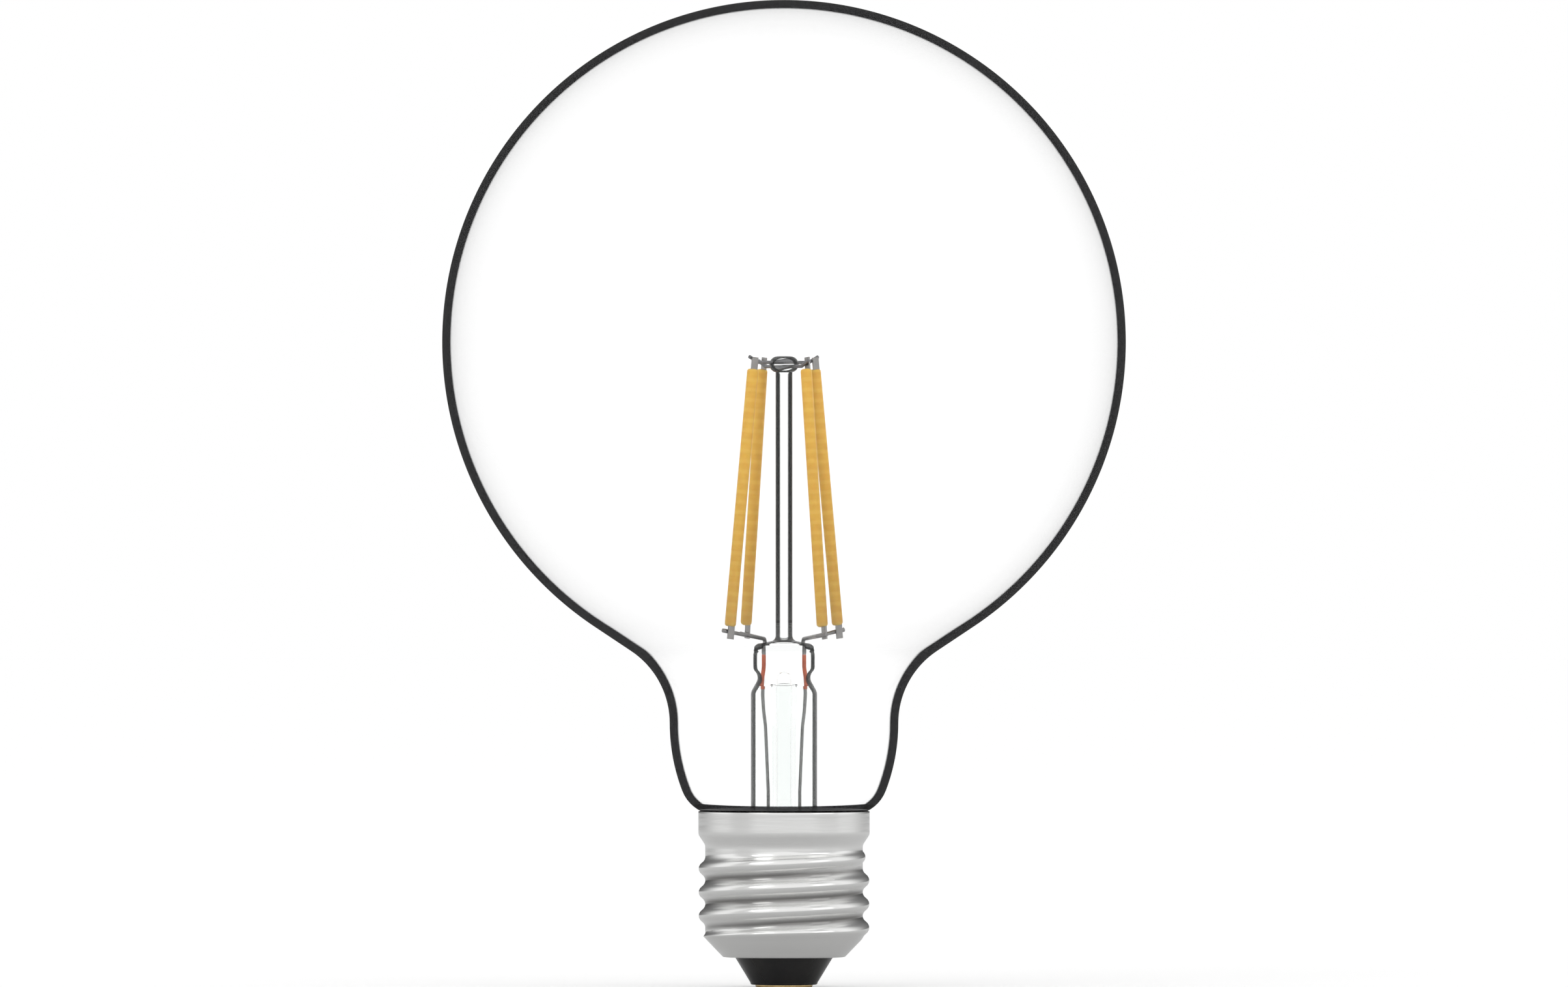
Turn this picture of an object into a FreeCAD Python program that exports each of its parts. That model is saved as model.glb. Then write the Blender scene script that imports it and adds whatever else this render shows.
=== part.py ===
import FreeCAD, Part
import math
import os
import re

import Sketcher

# A clear globe bulb: a blown glass ball on a screw cap, with four light rods round a glass post.
# Upright, in millimetres. The origin is at the middle of the centre contact's underside.
SIZES = {
    # Glass envelope, outside: ball, straight run, hollow shoulder, waist, and the bow down to the cap
    "globe_radius": 52.5,
    "shoulder_run": 6.704,
    "shoulder_radius": 13.3,
    "waist_flare": 4.96,
    "waist_rise": 13.5,
    "bow_radius": 29.0,
    "bow_angle": 21.0,
    "mouth_drop": 0.1,
    "mouth_slant": 1.2,
    "neck_taper": 2.3,
    "neck_length": 5.6,
    "glass_wall": 0.75,
    # Screw cap, outside: plain band, thread, lower cone and the flange that holds the insulator
    "rim_height": 27.0,
    "band_step": 0.05,
    "band_length": 3.6,
    "band_slope": 1.6,
    "root_radius": 12.1,
    "thread_depth": 1.0,
    "thread_pitch": 3.629,
    "thread_rise": 3.6,
    "thread_margin": 2.713,
    "runout_turns": 0.5,
    "cone_rise": 2.85,
    "cone_reach": 2.75,
    "flange_height": 4.6,
    "flange_grip": 0.93,
    "cap_sheet": 0.25,
    "cement_gap": 0.3,
    "cement_depth": 3.2,
    "cement_recess": 0.3,
    "neck_gap": 0.55,
    # Insulator, centre contact and its solder
    "flange_ledge": 1.82,
    "foot_radius": 5.05,
    "foot_height": 0.4,
    "foot_round": 0.3,
    "lip_inset": 0.45,
    "lip_height": 0.6,
    "collar_wall": 1.2,
    "floor_radius": 2.6,
    "floor_height": 3.3,
    "contact_radius": 4.4,
    "contact_sheet": 0.6,
    "contact_chamfer": 0.15,
    "eyelet_radius": 1.6,
    "eyelet_bore": 1.3,
    "eyelet_height": 3.7,
    "dish_radius": 2.2,
    "dish_depth": 0.5,
    "solder_recess": 0.06,
    "solder_core": 0.5,
    "solder_height": 1.2,
    # Glass stem: flared tube and flattened press, given by half widths and half depths
    "stem_radius": 5.115,
    "stem_wall": 0.9,
    "stem_length": 26.0,
    "dome_cover": 1.0,
    "dome_radius": 6.0,
    "pinch_rise": 2.9,
    "pinch_width": 4.09,
    "pinch_depth": 3.1,
    "press_rise": 1.9,
    "press_width": 4.74,
    "press_depth": 2.55,
    "press_length": 2.0,
    "crown_rise": 1.3,
    "crown_width": 3.45,
    "crown_depth": 2.25,
    # Pumping tube, sealed at its tip, and the glass post with its button
    "pump_radius": 1.8,
    "pump_bore": 1.1,
    "pump_grip": 1.2,
    "tip_headroom": 4.9,
    "pump_hole": 0.8,
    "post_radius": 1.29,
    "post_fillet": 0.85,
    "post_length": 42.46,
    "button_round": 1.27,
    "button_flat": 0.98,
    # Light filaments: silicone coat with phosphor, strip with its dies, and end tabs
    "filament_angle": 35.4,
    "filament_top_radius": 5.65,
    "filament_top_rise": 1.09,
    "filament_foot_radius": 10.3,
    "filament_foot_rise": 0.65,
    "coat_radius": 0.865,
    "coat_round": 0.36,
    "coat_cover": 0.9,
    "strip_width": 0.9,
    "strip_thickness": 0.4,
    "tab_width": 1.12,
    "tab_thickness": 0.25,
    "tab_bare": 1.82,
    "tab_grip": 1.5,
    "die_count": 24,
    "die_length": 0.85,
    "die_width": 0.5,
    "die_thickness": 0.12,
    # Anchor wires through the button, and lead wires from the press to the filaments' feet
    "anchor_radius": 0.27,
    "anchor_step": 0.62,
    "hook_start": 1.0,
    "hook_length": 1.95,
    "hook_angle": 27.0,
    "lead_radius": 0.3,
    "lead_wall": 0.85,
    "lead_stand": 0.65,
    "lead_slope": 0.205,
    "lead_reach": 1.1,
    "lead_straight": 1.3,
    "branch_run": 0.5,
    "bend_radius": 0.5,
    # Seal wires inside the press, and the tails that run down to the board
    "seal_rise": 0.6,
    "seal_length": 6.4,
    "tail_radius": 0.25,
    "tail_gap": 0.37,
    "tail_high": 11.0,
    "tail_low": 1.0,
    "tail_stub": 3.0,
    "tail_bend": 8.0,
    "pad_offset": 3.2,
    "pad_rise": 5.3,
    # Driver board and what it carries
    "board_clearance": 0.85,
    "board_thickness": 1.0,
    "wire_hole": 0.3,
    "wire_stub": 0.6,
    "board_margin": 0.7,
    "part_clearance": 0.5,
    "can_headroom": 3.3,
    "can_groove_height": 1.4,
    "can_groove": 0.3,
    "coil_radius": 2.7,
    "coil_waist": 1.4,
    "coil_height": 4.6,
    "coil_flange": 0.8,
    "winding_margin": 0.3,
    "driver_length": 4.9,
    "driver_width": 3.9,
    "driver_height": 1.5,
    "driver_pins": 4,
    "bridge_length": 4.7,
    "bridge_width": 4.0,
    "bridge_height": 2.4,
    "bridge_pins": 2,
    "pin_length": 0.8,
    "pin_width": 0.45,
    "pin_thickness": 0.25,
    "pin_lift": 0.1,
    "pin_root": 0.3,
    "resistor_count": 4,
    "resistor_length": 2.0,
    "resistor_width": 1.25,
    "resistor_height": 0.5,
    "resistor_offset": 7.3,
    "side_solder_angle": 16.0,
    "side_solder_turn": 60.0,
    "side_solder_width": 1.2,
    "side_solder_height": 0.8,
    # Clearance round whatever is sealed, soldered or cemented in
    "seal_gap": 0.02,
}

# Radii and offsets that follow from the sizes, from the cap's thread outwards and inwards
FOLLOWING = {
    "crest_radius": "root_radius + thread_depth",
    "band_radius": "crest_radius + band_step",
    "flange_radius": "root_radius - cone_reach",
    "insulator_radius": "flange_radius - flange_ledge",
    "flange_hole": "insulator_radius - flange_grip",
    "lip_radius": "flange_radius - lip_inset",
    "bowl_radius": "flange_hole - collar_wall",
    "board_radius": "root_radius - cap_sheet - board_clearance",
    "middle_radius": "pad_offset + wire_hole + part_clearance",
    "can_radius": "(board_radius - board_margin - middle_radius) / 2",
    "can_offset": "middle_radius + can_radius",
    "coil_offset": "middle_radius + coil_radius",
    "driver_offset": "middle_radius + driver_width / 2 + pin_length",
    "bridge_offset": "middle_radius + bridge_width / 2 + pin_length",
}

# Heights and places that follow from the sizes
NECK_TOP = "(rim_height - mouth_drop - neck_taper)"
NECK_FOOT = "(rim_height - mouth_drop - neck_taper - neck_length)"
NECK_RADIUS = "(root_radius - cap_sheet - neck_gap)"
MOUTH_RADIUS = "(band_radius - cap_sheet - cement_gap)"
WAIST_RADIUS = "(%s + waist_flare)" % MOUTH_RADIUS
WAIST_HEIGHT = "(rim_height + waist_rise)"
PRESS_FOOT = "(%s + stem_length)" % NECK_FOOT
PINCH = "(%s + pinch_rise)" % PRESS_FOOT
PRESS_LOW = "(%s + press_rise)" % PINCH
PRESS_HIGH = "(%s + press_length)" % PRESS_LOW
PRESS_TOP = "(%s + crown_rise)" % PRESS_HIGH
PUMP_TOP = "(%s + pump_grip)" % PRESS_FOOT
BUTTON = "(%s + post_length)" % PRESS_TOP
LEAD_OFFSET = "(pump_radius + lead_wall + lead_radius)"
LEAD_HEIGHT = "(%s + lead_stand)" % PRESS_TOP
SEAL_FOOT = "(%s + seal_rise)" % PRESS_FOOT
CONE_SLOPE = "(cone_rise / (root_radius - flange_radius))"
CONE_SHEET = "(cap_sheet * sqrt(1 + %s ^ 2))" % CONE_SLOPE
BOARD_FOOT = ("(flange_height + %s * (board_radius - flange_radius) + %s + seal_gap)"
              % (CONE_SLOPE, CONE_SHEET))
BOARD_TOP = "(%s + board_thickness)" % BOARD_FOOT

THREAD_START = "(flange_height + thread_rise)"
BAND_FOOT = "(rim_height - band_length)"
SLOPE_FOOT = "(%s - band_slope)" % BAND_FOOT
THREAD_LENGTH = "(%s - thread_margin - %s)" % (SLOPE_FOOT, THREAD_START)

# A round cap thread in shares of its pitch and depth: the outside, and the same sheet's inside
THREAD_OUTSIDE = [(-0.485, -0.03), (-0.34, 0.13), (-0.185, 0.72), (-0.08, 0.965),
                  (0.08, 0.965), (0.185, 0.72), (0.34, 0.13), (0.485, -0.03)]
THREAD_INSIDE = [(-0.344, 0.0), (-0.09, 0.965), (0.09, 0.965), (0.344, 0.0)]

# The filaments in order round the post, each a quarter turn on from the last
FILAMENTS = ["right_back", "left_back", "left_front", "right_front"]

doc = FreeCAD.newDocument("GlobeBulb")
sheet = doc.addObject("Spreadsheet::Sheet", "Sizes")
for row, (size_name, size_value) in enumerate(SIZES.items(), start=1):
    sheet.set("A%d" % row, size_name)
    sheet.set("B%d" % row, str(size_value))
    sheet.setAlias("B%d" % row, size_name)
doc.recompute()

Vector = FreeCAD.Vector
UP = Vector(0, 0, 1)
pieces = []


def on_sheet(text):
    """An expression in which each size is the sheet's own cell, and what follows is spelled out."""
    def spelled(word):
        if word[0] in FOLLOWING:
            return "(%s)" % on_sheet(FOLLOWING[word[0]])
        return "Sizes." + word[0] if word[0] in SIZES else word[0]

    return re.sub("[a-z_]+", spelled, text)


def size(text):
    """What an expression in the sheet's sizes comes to."""
    return float(sheet.evalExpression(on_sheet(text)))


def bind(item, **expressions):
    """Ties an object's properties to expressions; Placement__Base__z stands for Placement.Base.z."""
    for name, text in expressions.items():
        item.setExpression(name.replace("__", "."), on_sheet(text))
    return item


def keep(item, label):
    """Counts an object as a finished piece, under the name of its file."""
    item.Label = label
    pieces.append(item)
    return item


# Outlines, turned pieces and wires


def bulged_arc(start, end, radius, turn):
    """The short arc from start to end; turn is 1 where its centre lies to the left, -1 to the right."""
    chord = end - start
    half = chord.Length / 2
    to_left = Vector(-chord.y, chord.x, 0).normalize()
    depth = math.sqrt(max(radius ** 2 - half ** 2, 0))
    centre = (start + end) / 2 + to_left * depth * turn
    middle = centre - to_left * radius * turn
    return Part.Arc(start, middle, end)


def outline(body, name, corners, role="XZ_Plane"):
    """A closed outline on one of the body's own planes, with every corner and arc tied to the sheet.

    A corner is (across, up). One whose next side is an arc is (across, up, radius, turn).
    """
    sketch = body.newObject("Sketcher::SketchObject", name)
    plane = next(item for item in body.Origin.OriginFeatures if item.Role == role)
    sketch.AttachmentSupport = (plane, [""])
    sketch.MapMode = "FlatFace"
    points = [Vector(size(corner[0]), size(corner[1]), 0) for corner in corners]
    last = len(corners) - 1
    ends = []
    for index, corner in enumerate(corners):
        start, end = points[index], points[index + 1 if index < last else 0]
        if len(corner) == 2:
            sketch.addGeometry(Part.LineSegment(start, end))
            ends.append((1, 2))
        else:
            sketch.addGeometry(bulged_arc(start, end, size(corner[2]), corner[3]))
            # An arc runs anticlockwise in a sketch, so one that turns right starts at its second end
            ends.append((1, 2) if corner[3] > 0 else (2, 1))
    for index, corner in enumerate(corners):
        after = index + 1 if index < last else 0
        sketch.addConstraint(Sketcher.Constraint("Coincident", index, ends[index][1], after, ends[after][0]))
        for kind, text in (("DistanceX", corner[0]), ("DistanceY", corner[1])):
            if text == "0" and kind == "DistanceX":
                sketch.addConstraint(Sketcher.Constraint("PointOnObject", index, ends[index][0], -2))
                continue
            distance = (-1, 1, index, ends[index][0])
            if size(text) < 0:
                distance = (index, ends[index][0], -1, 1)
                text = "-(%s)" % text
            place = sketch.addConstraint(Sketcher.Constraint(kind, *distance, size(text)))
            sketch.setExpression("Constraints[%d]" % place, on_sheet(text))
        if len(corner) == 4:
            place = sketch.addConstraint(Sketcher.Constraint("Radius", index, size(corner[2])))
            sketch.setExpression("Constraints[%d]" % place, on_sheet(corner[2]))
    return sketch


def turned(name, corners, angle=None):
    """A body spun from its half section about the upright axis."""
    body = doc.addObject("PartDesign::Body", name)
    spin = body.newObject("PartDesign::Revolution", name + "_spin")
    spin.Profile = outline(body, name + "_section", corners)
    spin.ReferenceAxis = (spin.Profile[0], ["V_Axis"])
    spin.Angle = 360
    if angle:
        bind(spin, Angle=angle)
        spin.Midplane = True
    return body


def groove(body, name, corners):
    """A turned cut in a body."""
    spin = body.newObject("PartDesign::Groove", name)
    spin.Profile = outline(body, name + "_section", corners)
    spin.ReferenceAxis = (spin.Profile[0], ["V_Axis"])
    spin.Angle = 360
    return spin


def helix(body, kind, name, corners, height, slope="0"):
    """A thread form swept up the cap at the thread's pitch, added to or cut from the body."""
    thread = body.newObject("PartDesign::" + kind, name)
    thread.Profile = outline(body, name + "_form", corners)
    thread.ReferenceAxis = (thread.Profile[0], ["V_Axis"])
    thread.Mode = 0
    bind(thread, Pitch="thread_pitch", Height=height, Angle=slope)
    return thread


def cylinder(name, radius, height, x="0", y="0", z="0"):
    item = doc.addObject("Part::Cylinder", name)
    return bind(item, Radius=radius, Height=height, Placement__Base__x=x, Placement__Base__y=y,
                Placement__Base__z=z)


def box(name, length, width, height, x="0", y="0", z="0"):
    """A block with its middle at x, y and its foot at z."""
    item = doc.addObject("Part::Box", name)
    return bind(item, Length=length, Width=width, Height=height,
                Placement__Base__x="%s - (%s) / 2" % (x, length),
                Placement__Base__y="%s - (%s) / 2" % (y, width), Placement__Base__z=z)


def cut(name, base, *tools):
    """The base less the tools."""
    tool = tools[0]
    if len(tools) > 1:
        tool = doc.addObject("Part::MultiFuse", name + "_tools")
        tool.Shapes = list(tools)
    item = doc.addObject("Part::Cut", name)
    item.Base = base
    item.Tool = tool
    return item


def fuse(name, *parts):
    item = doc.addObject("Part::MultiFuse", name)
    item.Shapes = list(parts)
    item.Refine = True
    return item


def bent_wire(points, radius, bend):
    """A round wire along straight runs joined by tangent arcs."""
    edges = []
    start = points[0]
    for before, corner, after in zip(points, points[1:], points[2:]):
        inward = (before - corner).normalize()
        onward = (after - corner).normalize()
        half_turn = (math.pi - inward.getAngle(onward)) / 2
        reach = bend * math.tan(half_turn)
        arc_start = corner + inward * reach
        arc_end = corner + onward * reach
        bisector = (inward + onward).normalize()
        middle = corner + bisector * (bend / math.cos(half_turn) - bend)
        edges.append(Part.LineSegment(start, arc_start).toShape())
        edges.append(Part.Arc(arc_start, middle, arc_end).toShape())
        start = arc_end
    edges.append(Part.LineSegment(start, points[-1]).toShape())
    section = Part.Wire(Part.Circle(points[0], points[1] - points[0], radius).toShape())
    return Part.Wire(edges).makePipeShell([section], True, True)


def wire(name, points, radius, bend):
    """A wire as a piece of its own."""
    item = doc.addObject("Part::Feature", name)
    item.Shape = bent_wire(points, size(radius), size(bend))
    return keep(item, name)


# Glass envelope


def glass_outline(inset):
    """Half the glass's outline, from its neck to its top, drawn in by an even inset."""
    across = "(%s + shoulder_radius)" % WAIST_RADIUS
    both = "(globe_radius + shoulder_radius)"
    drop = "sqrt(%s ^ 2 + shoulder_run ^ 2 - %s ^ 2)" % (both, across)
    globe_height = "(%s + %s)" % (WAIST_HEIGHT, drop)
    # The straight run between ball and shoulder leaves both at right angles to this slope
    slope = "(atan(%s / %s) - atan(shoulder_run / %s))" % (drop, across, both)
    ball = "(globe_radius - %s)" % inset
    shoulder = "(shoulder_radius + %s)" % inset
    bow = "(bow_radius - %s)" % inset
    bow_end = ("(%s - bow_radius + %s * cos(bow_angle))" % (WAIST_RADIUS, bow),
               "(%s - %s * sin(bow_angle))" % (WAIST_HEIGHT, bow))
    mouth = ("(%s - mouth_slant * %s)" % (MOUTH_RADIUS, inset), "(rim_height - mouth_drop)")
    # The arc that leaves the bow's end smoothly and still meets the mouth
    out = "(%s - %s)" % (mouth[0], bow_end[0])
    down = "(%s - %s)" % (mouth[1], bow_end[1])
    lower = "(%s ^ 2 + %s ^ 2) / (2 * (%s * sin(bow_angle) - %s * cos(bow_angle)))" % (out, down, down, out)
    neck = "(%s - %s)" % (NECK_RADIUS, inset)
    foot = "(%s - %s)" % (NECK_FOOT, inset)
    return [
        ("0", foot),
        (neck, foot),
        (neck, NECK_TOP),
        mouth + (lower, 1),
        bow_end + (bow, 1),
        ("%s - %s" % (WAIST_RADIUS, inset), WAIST_HEIGHT, shoulder, -1),
        ("%s - %s * cos(%s)" % (across, shoulder, slope),
         "%s + %s * sin(%s)" % (WAIST_HEIGHT, shoulder, slope)),
        ("%s * cos(%s)" % (ball, slope), "%s - %s * sin(%s)" % (globe_height, ball, slope), ball, 1),
        (ball, globe_height, ball, 1),
        ("0", "%s + %s" % (globe_height, ball)),
    ]


def glass_globe():
    """The blown glass: one even wall, open at the neck."""
    body = turned("glass_globe", glass_outline("0"))
    groove(body, "glass_globe_hollow", glass_outline("glass_wall"))
    keep(body, "glass_globe")


# Screw cap


def thread_form(form, base, height):
    """One turn's section at a height, standing on a base radius and closed a little inside it."""
    corners = [("%s + (crest_radius - root_radius) * %s" % (base, rise),
                "%s + thread_pitch * %s" % (height, along)) for along, rise in form]
    inside = base + " - cap_sheet / 2"
    return corners + [(inside, corners[-1][1]), (inside, corners[0][1])]


def cap_shell():
    """The rolled sheet shell, with its thread's first turn starting at the front."""
    body = turned("cap_shell", [
        ("0", "flange_height"),
        ("flange_radius", "flange_height"),
        ("root_radius", "flange_height + cone_rise"),
        ("root_radius", SLOPE_FOOT),
        ("band_radius", BAND_FOOT),
        ("band_radius", "rim_height"),
        ("0", "rim_height"),
    ])
    first_turn = thread_form(THREAD_OUTSIDE, "root_radius", THREAD_START)
    last_turn = thread_form(THREAD_OUTSIDE, "root_radius", "%s + %s" % (THREAD_START, THREAD_LENGTH))
    runout = "thread_pitch * runout_turns"
    sink = "-atan(1.2 * (crest_radius - root_radius) / (%s))" % runout
    helix(body, "AdditiveHelix", "thread", first_turn, THREAD_LENGTH)
    helix(body, "AdditiveHelix", "runout", last_turn, runout, sink)
    helix(body, "AdditiveHelix", "lead_in", first_turn, runout, sink).Reversed = True
    clear = "crest_radius + 2 * cap_sheet"
    groove(body, "cone_trim", [
        ("flange_radius", "flange_height"),
        ("flange_radius", "flange_height - cone_rise"),
        (clear, "flange_height - cone_rise"),
        (clear, "flange_height + %s * (%s - flange_radius)" % (CONE_SLOPE, clear)),
    ])
    inner_root = "root_radius - cap_sheet"
    groove(body, "cap_bore", [
        ("0", "flange_height - cap_sheet"),
        ("flange_hole", "flange_height - cap_sheet"),
        ("flange_hole", "flange_height + cap_sheet"),
        ("flange_radius + (cap_sheet - %s) / %s" % (CONE_SHEET, CONE_SLOPE), "flange_height + cap_sheet"),
        (inner_root, "flange_height + %s * (%s - flange_radius) + %s" % (CONE_SLOPE, inner_root, CONE_SHEET)),
        (inner_root, SLOPE_FOOT + " + cap_sheet / 2"),
        ("band_radius - cap_sheet", BAND_FOOT + " + cap_sheet / 2"),
        ("band_radius - cap_sheet", "rim_height + cap_sheet"),
        ("0", "rim_height + cap_sheet"),
    ])
    helix(body, "SubtractiveHelix", "thread_inside", thread_form(THREAD_INSIDE, inner_root, THREAD_START),
          THREAD_LENGTH)
    body.Placement = FreeCAD.Placement(Vector(), FreeCAD.Rotation(UP, -90))
    keep(body, "cap_shell")


def insulator():
    """The black insulator: a cone below the flange, a lip above it and a hole for the eyelet."""
    inner = "flange_height + cap_sheet + seal_gap"
    lip = inner + " + lip_height"
    roof = "contact_sheet + seal_gap"
    keep(turned("insulator", [
        ("contact_radius + seal_gap", "foot_height"),
        ("foot_radius - foot_round", "foot_height", "foot_round", 1),
        ("foot_radius + foot_round * 0.4", "foot_height + foot_round"),
        ("insulator_radius", "flange_height - seal_gap"),
        ("flange_hole - seal_gap", "flange_height - seal_gap"),
        ("flange_hole - seal_gap", inner),
        ("lip_radius", inner),
        ("lip_radius", lip),
        ("bowl_radius", lip),
        ("floor_radius", "floor_height"),
        ("eyelet_radius + seal_gap", "floor_height"),
        ("eyelet_radius + seal_gap", roof),
        ("contact_radius + seal_gap", roof),
    ]), "insulator")


def centre_contact():
    """The pressed contact: a disc with a dish for the solder, and an eyelet through the insulator."""
    keep(turned("centre_contact", [
        ("dish_radius", "0"),
        ("contact_radius - contact_chamfer", "0"),
        ("contact_radius", "contact_chamfer"),
        ("contact_radius", "contact_sheet"),
        ("eyelet_radius", "contact_sheet"),
        ("eyelet_radius", "eyelet_height"),
        ("eyelet_bore", "eyelet_height"),
        ("eyelet_bore", "dish_depth"),
    ]), "centre_contact")
    dish_slope = "(dish_radius - eyelet_bore) / dish_depth"
    keep(turned("contact_solder", [
        ("0", "solder_recess"),
        ("dish_radius - %s * solder_recess - 2 * seal_gap" % dish_slope, "solder_recess"),
        ("eyelet_bore - seal_gap", "dish_depth"),
        ("eyelet_bore - seal_gap", "solder_height"),
        ("tail_radius + seal_gap", "solder_height"),
        ("tail_radius + seal_gap", "solder_core"),
        ("0", "solder_core"),
    ]), "contact_solder")


def cement_ring():
    """The cement that fixes the glass in the cap's plain band."""
    top = "rim_height - cement_recess"
    slope = "(%s - %s) / neck_taper" % (MOUTH_RADIUS, NECK_RADIUS)
    keep(turned("cement_ring", [
        (NECK_RADIUS + " + seal_gap", "rim_height - cement_depth"),
        ("band_radius - cap_sheet - seal_gap", "rim_height - cement_depth"),
        ("band_radius - cap_sheet - seal_gap", top),
        ("%s + %s * (%s - %s) + 2 * seal_gap" % (NECK_RADIUS, slope, top, NECK_TOP), top),
        (NECK_RADIUS + " + seal_gap", NECK_TOP),
    ]), "cement_ring")


# Glass stem and post


def lying_cylinder(name, radius, length, middle, direction):
    """A round bar along a direction, centred on a point."""
    item = doc.addObject("Part::Cylinder", name)
    bind(item, Radius=radius, Height=length)
    start = middle - direction * size(length) / 2
    item.Placement = FreeCAD.Placement(start, FreeCAD.Rotation(UP, direction))
    return item


def press_section(name, half_width, half_depth, height):
    """One oval section of the flattened press."""
    item = doc.addObject("Part::Ellipse", name)
    return bind(item, MajorRadius=half_width, MinorRadius=half_depth, Placement__Base__z=height)


def stem():
    """The flared tube, closed by a dome under the press that grips tube, wires and post."""
    rim = "(%s - glass_wall - seal_gap)" % NECK_RADIUS
    flare = "(%s - stem_radius)" % rim
    flare_top = "%s + stem_wall + %s" % (NECK_FOOT, flare)
    bore = "(stem_radius - stem_wall)"
    dome = "(%s - dome_cover)" % PRESS_FOOT
    tube = turned("stem_tube", [
        (rim, NECK_FOOT),
        (rim, NECK_FOOT + " + stem_wall", flare, -1),
        ("stem_radius", flare_top),
        ("stem_radius", PRESS_FOOT),
        ("0", PRESS_FOOT),
        ("0", dome, "dome_radius", -1),
        (bore, "%s - dome_radius + sqrt(dome_radius ^ 2 - %s ^ 2)" % (dome, bore)),
        (bore, flare_top, "%s + stem_wall" % flare, 1),
    ])
    press = doc.addObject("Part::Loft", "stem_press")
    press.Sections = [
        press_section("press_foot", "stem_radius", "stem_radius", PRESS_FOOT),
        press_section("press_pinch", "pinch_width", "pinch_depth", PINCH),
        press_section("press_low", "press_width", "press_depth", PRESS_LOW),
        press_section("press_high", "press_width", "press_depth", PRESS_HIGH),
        press_section("press_crown", "crown_width", "crown_depth", PRESS_TOP),
    ]
    press.Solid = True
    press.Ruled = False
    below = "(%s - 2 * dome_cover)" % PRESS_FOOT
    bores = [cylinder("lead_bore_%d" % side, "lead_radius + seal_gap", PRESS_TOP + " + seal_gap - " + below,
                      x="%d * %s" % (side, LEAD_OFFSET), z=below) for side in (-1, 1)]
    socket = cylinder("pump_socket", "pump_radius + seal_gap", "%s + seal_gap - %s" % (PUMP_TOP, below),
                      z=below)
    passage = cylinder("pump_passage", "pump_bore", "pinch_rise + pump_hole", z=PRESS_FOOT)
    outlet = lying_cylinder("pump_outlet", "pump_hole", "pinch_depth * 2",
                            Vector(0, size("pinch_depth"), size(PINCH)), Vector(0, 1, 0))
    keep(cut("stem", fuse("stem_blank", tube, press), *bores, socket, passage, outlet), "stem")


def pump_tube():
    """The tube that the bulb was pumped and filled through, melted shut at its tip."""
    tip = "(%s + tip_headroom)" % BOARD_TOP
    shoulder = tip + " + pump_radius"
    keep(turned("pump_tube", [
        ("0", tip, "pump_radius", 1),
        ("pump_radius", shoulder),
        ("pump_radius", PUMP_TOP),
        ("pump_bore", PUMP_TOP),
        ("pump_bore", shoulder, "pump_bore", -1),
        ("0", shoulder + " - pump_bore"),
    ]), "pump_tube")


def post():
    """The glass post with its foot fillet and the flat button that holds the anchor wires."""
    button_foot = "%s - sqrt(button_round ^ 2 - (post_radius - button_flat) ^ 2)" % BUTTON
    body = turned("post_blank", [
        ("0", PRESS_TOP),
        ("post_radius + post_fillet", PRESS_TOP, "post_fillet", -1),
        ("post_radius", PRESS_TOP + " + post_fillet"),
        ("post_radius", button_foot, "button_round", 1),
        ("button_flat + button_round", BUTTON, "button_round", 1),
        ("button_flat", BUTTON + " + button_round"),
        ("0", BUTTON + " + button_round"),
    ])
    bores = []
    for index, name in enumerate(("anchor_bore_low", "anchor_bore_high")):
        middle, direction = anchor_line(index)
        bores.append(lying_cylinder(name, "anchor_radius + seal_gap", "4 * (button_flat + button_round)",
                                    middle, direction))
    keep(cut("post", body, *bores), "post")


# Light filaments


def radial(index):
    """The level direction from the post to a filament."""
    angle = math.radians(size("filament_angle") + 90 * index)
    return Vector(math.cos(angle), math.sin(angle), 0)


def filament_side(index, wire_radius):
    """How far a wire that lies on a filament's tabs runs beside the filament's own plane.

    The two filaments that one anchor wire joins have their tabs on the same side of it.
    """
    beside = size("%s + seal_gap - strip_thickness / 2" % wire_radius)
    across = UP.cross(radial(index))
    return across * (beside if index < 2 else -beside)


def filament_at(index, height):
    """The point on a filament's own line at a height."""
    top, foot = size(BUTTON + " + filament_top_rise"), size(PRESS_TOP + " + filament_foot_rise")
    share = (top - height) / (top - foot)
    reach = size("filament_top_radius") + share * size("filament_foot_radius - filament_top_radius")
    return radial(index) * reach + UP * height


def filament_place(index):
    """Where a filament stands: its middle, its lean, and which way its strip faces."""
    foot = filament_at(index, size(PRESS_TOP + " + filament_foot_rise"))
    top = filament_at(index, size(BUTTON + " + filament_top_rise"))
    lean = math.degrees(math.atan2(size("filament_foot_radius - filament_top_radius"), top.z - foot.z))
    turn = FreeCAD.Rotation(UP, size("filament_angle") + 90 * index)
    tilt = FreeCAD.Rotation(Vector(0, 1, 0), -lean)
    face = FreeCAD.Rotation(UP, 0 if index < 2 else 180)
    return FreeCAD.Placement((foot + top) / 2, turn * tilt * face)


def block(body, kind, name, sides, foot, length):
    """A straight block on a rectangle (left, right, near, far), added to or cut from a body."""
    left, right, near, far = sides
    corners = [(left, near), (right, near), (right, far), (left, far)]
    section = outline(body, name + "_section", corners, "XY_Plane")
    bind(section, AttachmentOffset__Base__z=foot)
    feature = body.newObject("PartDesign::" + kind, name)
    feature.Profile = section
    feature.Reversed = kind == "Pocket"
    return bind(feature, Length=length)


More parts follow.
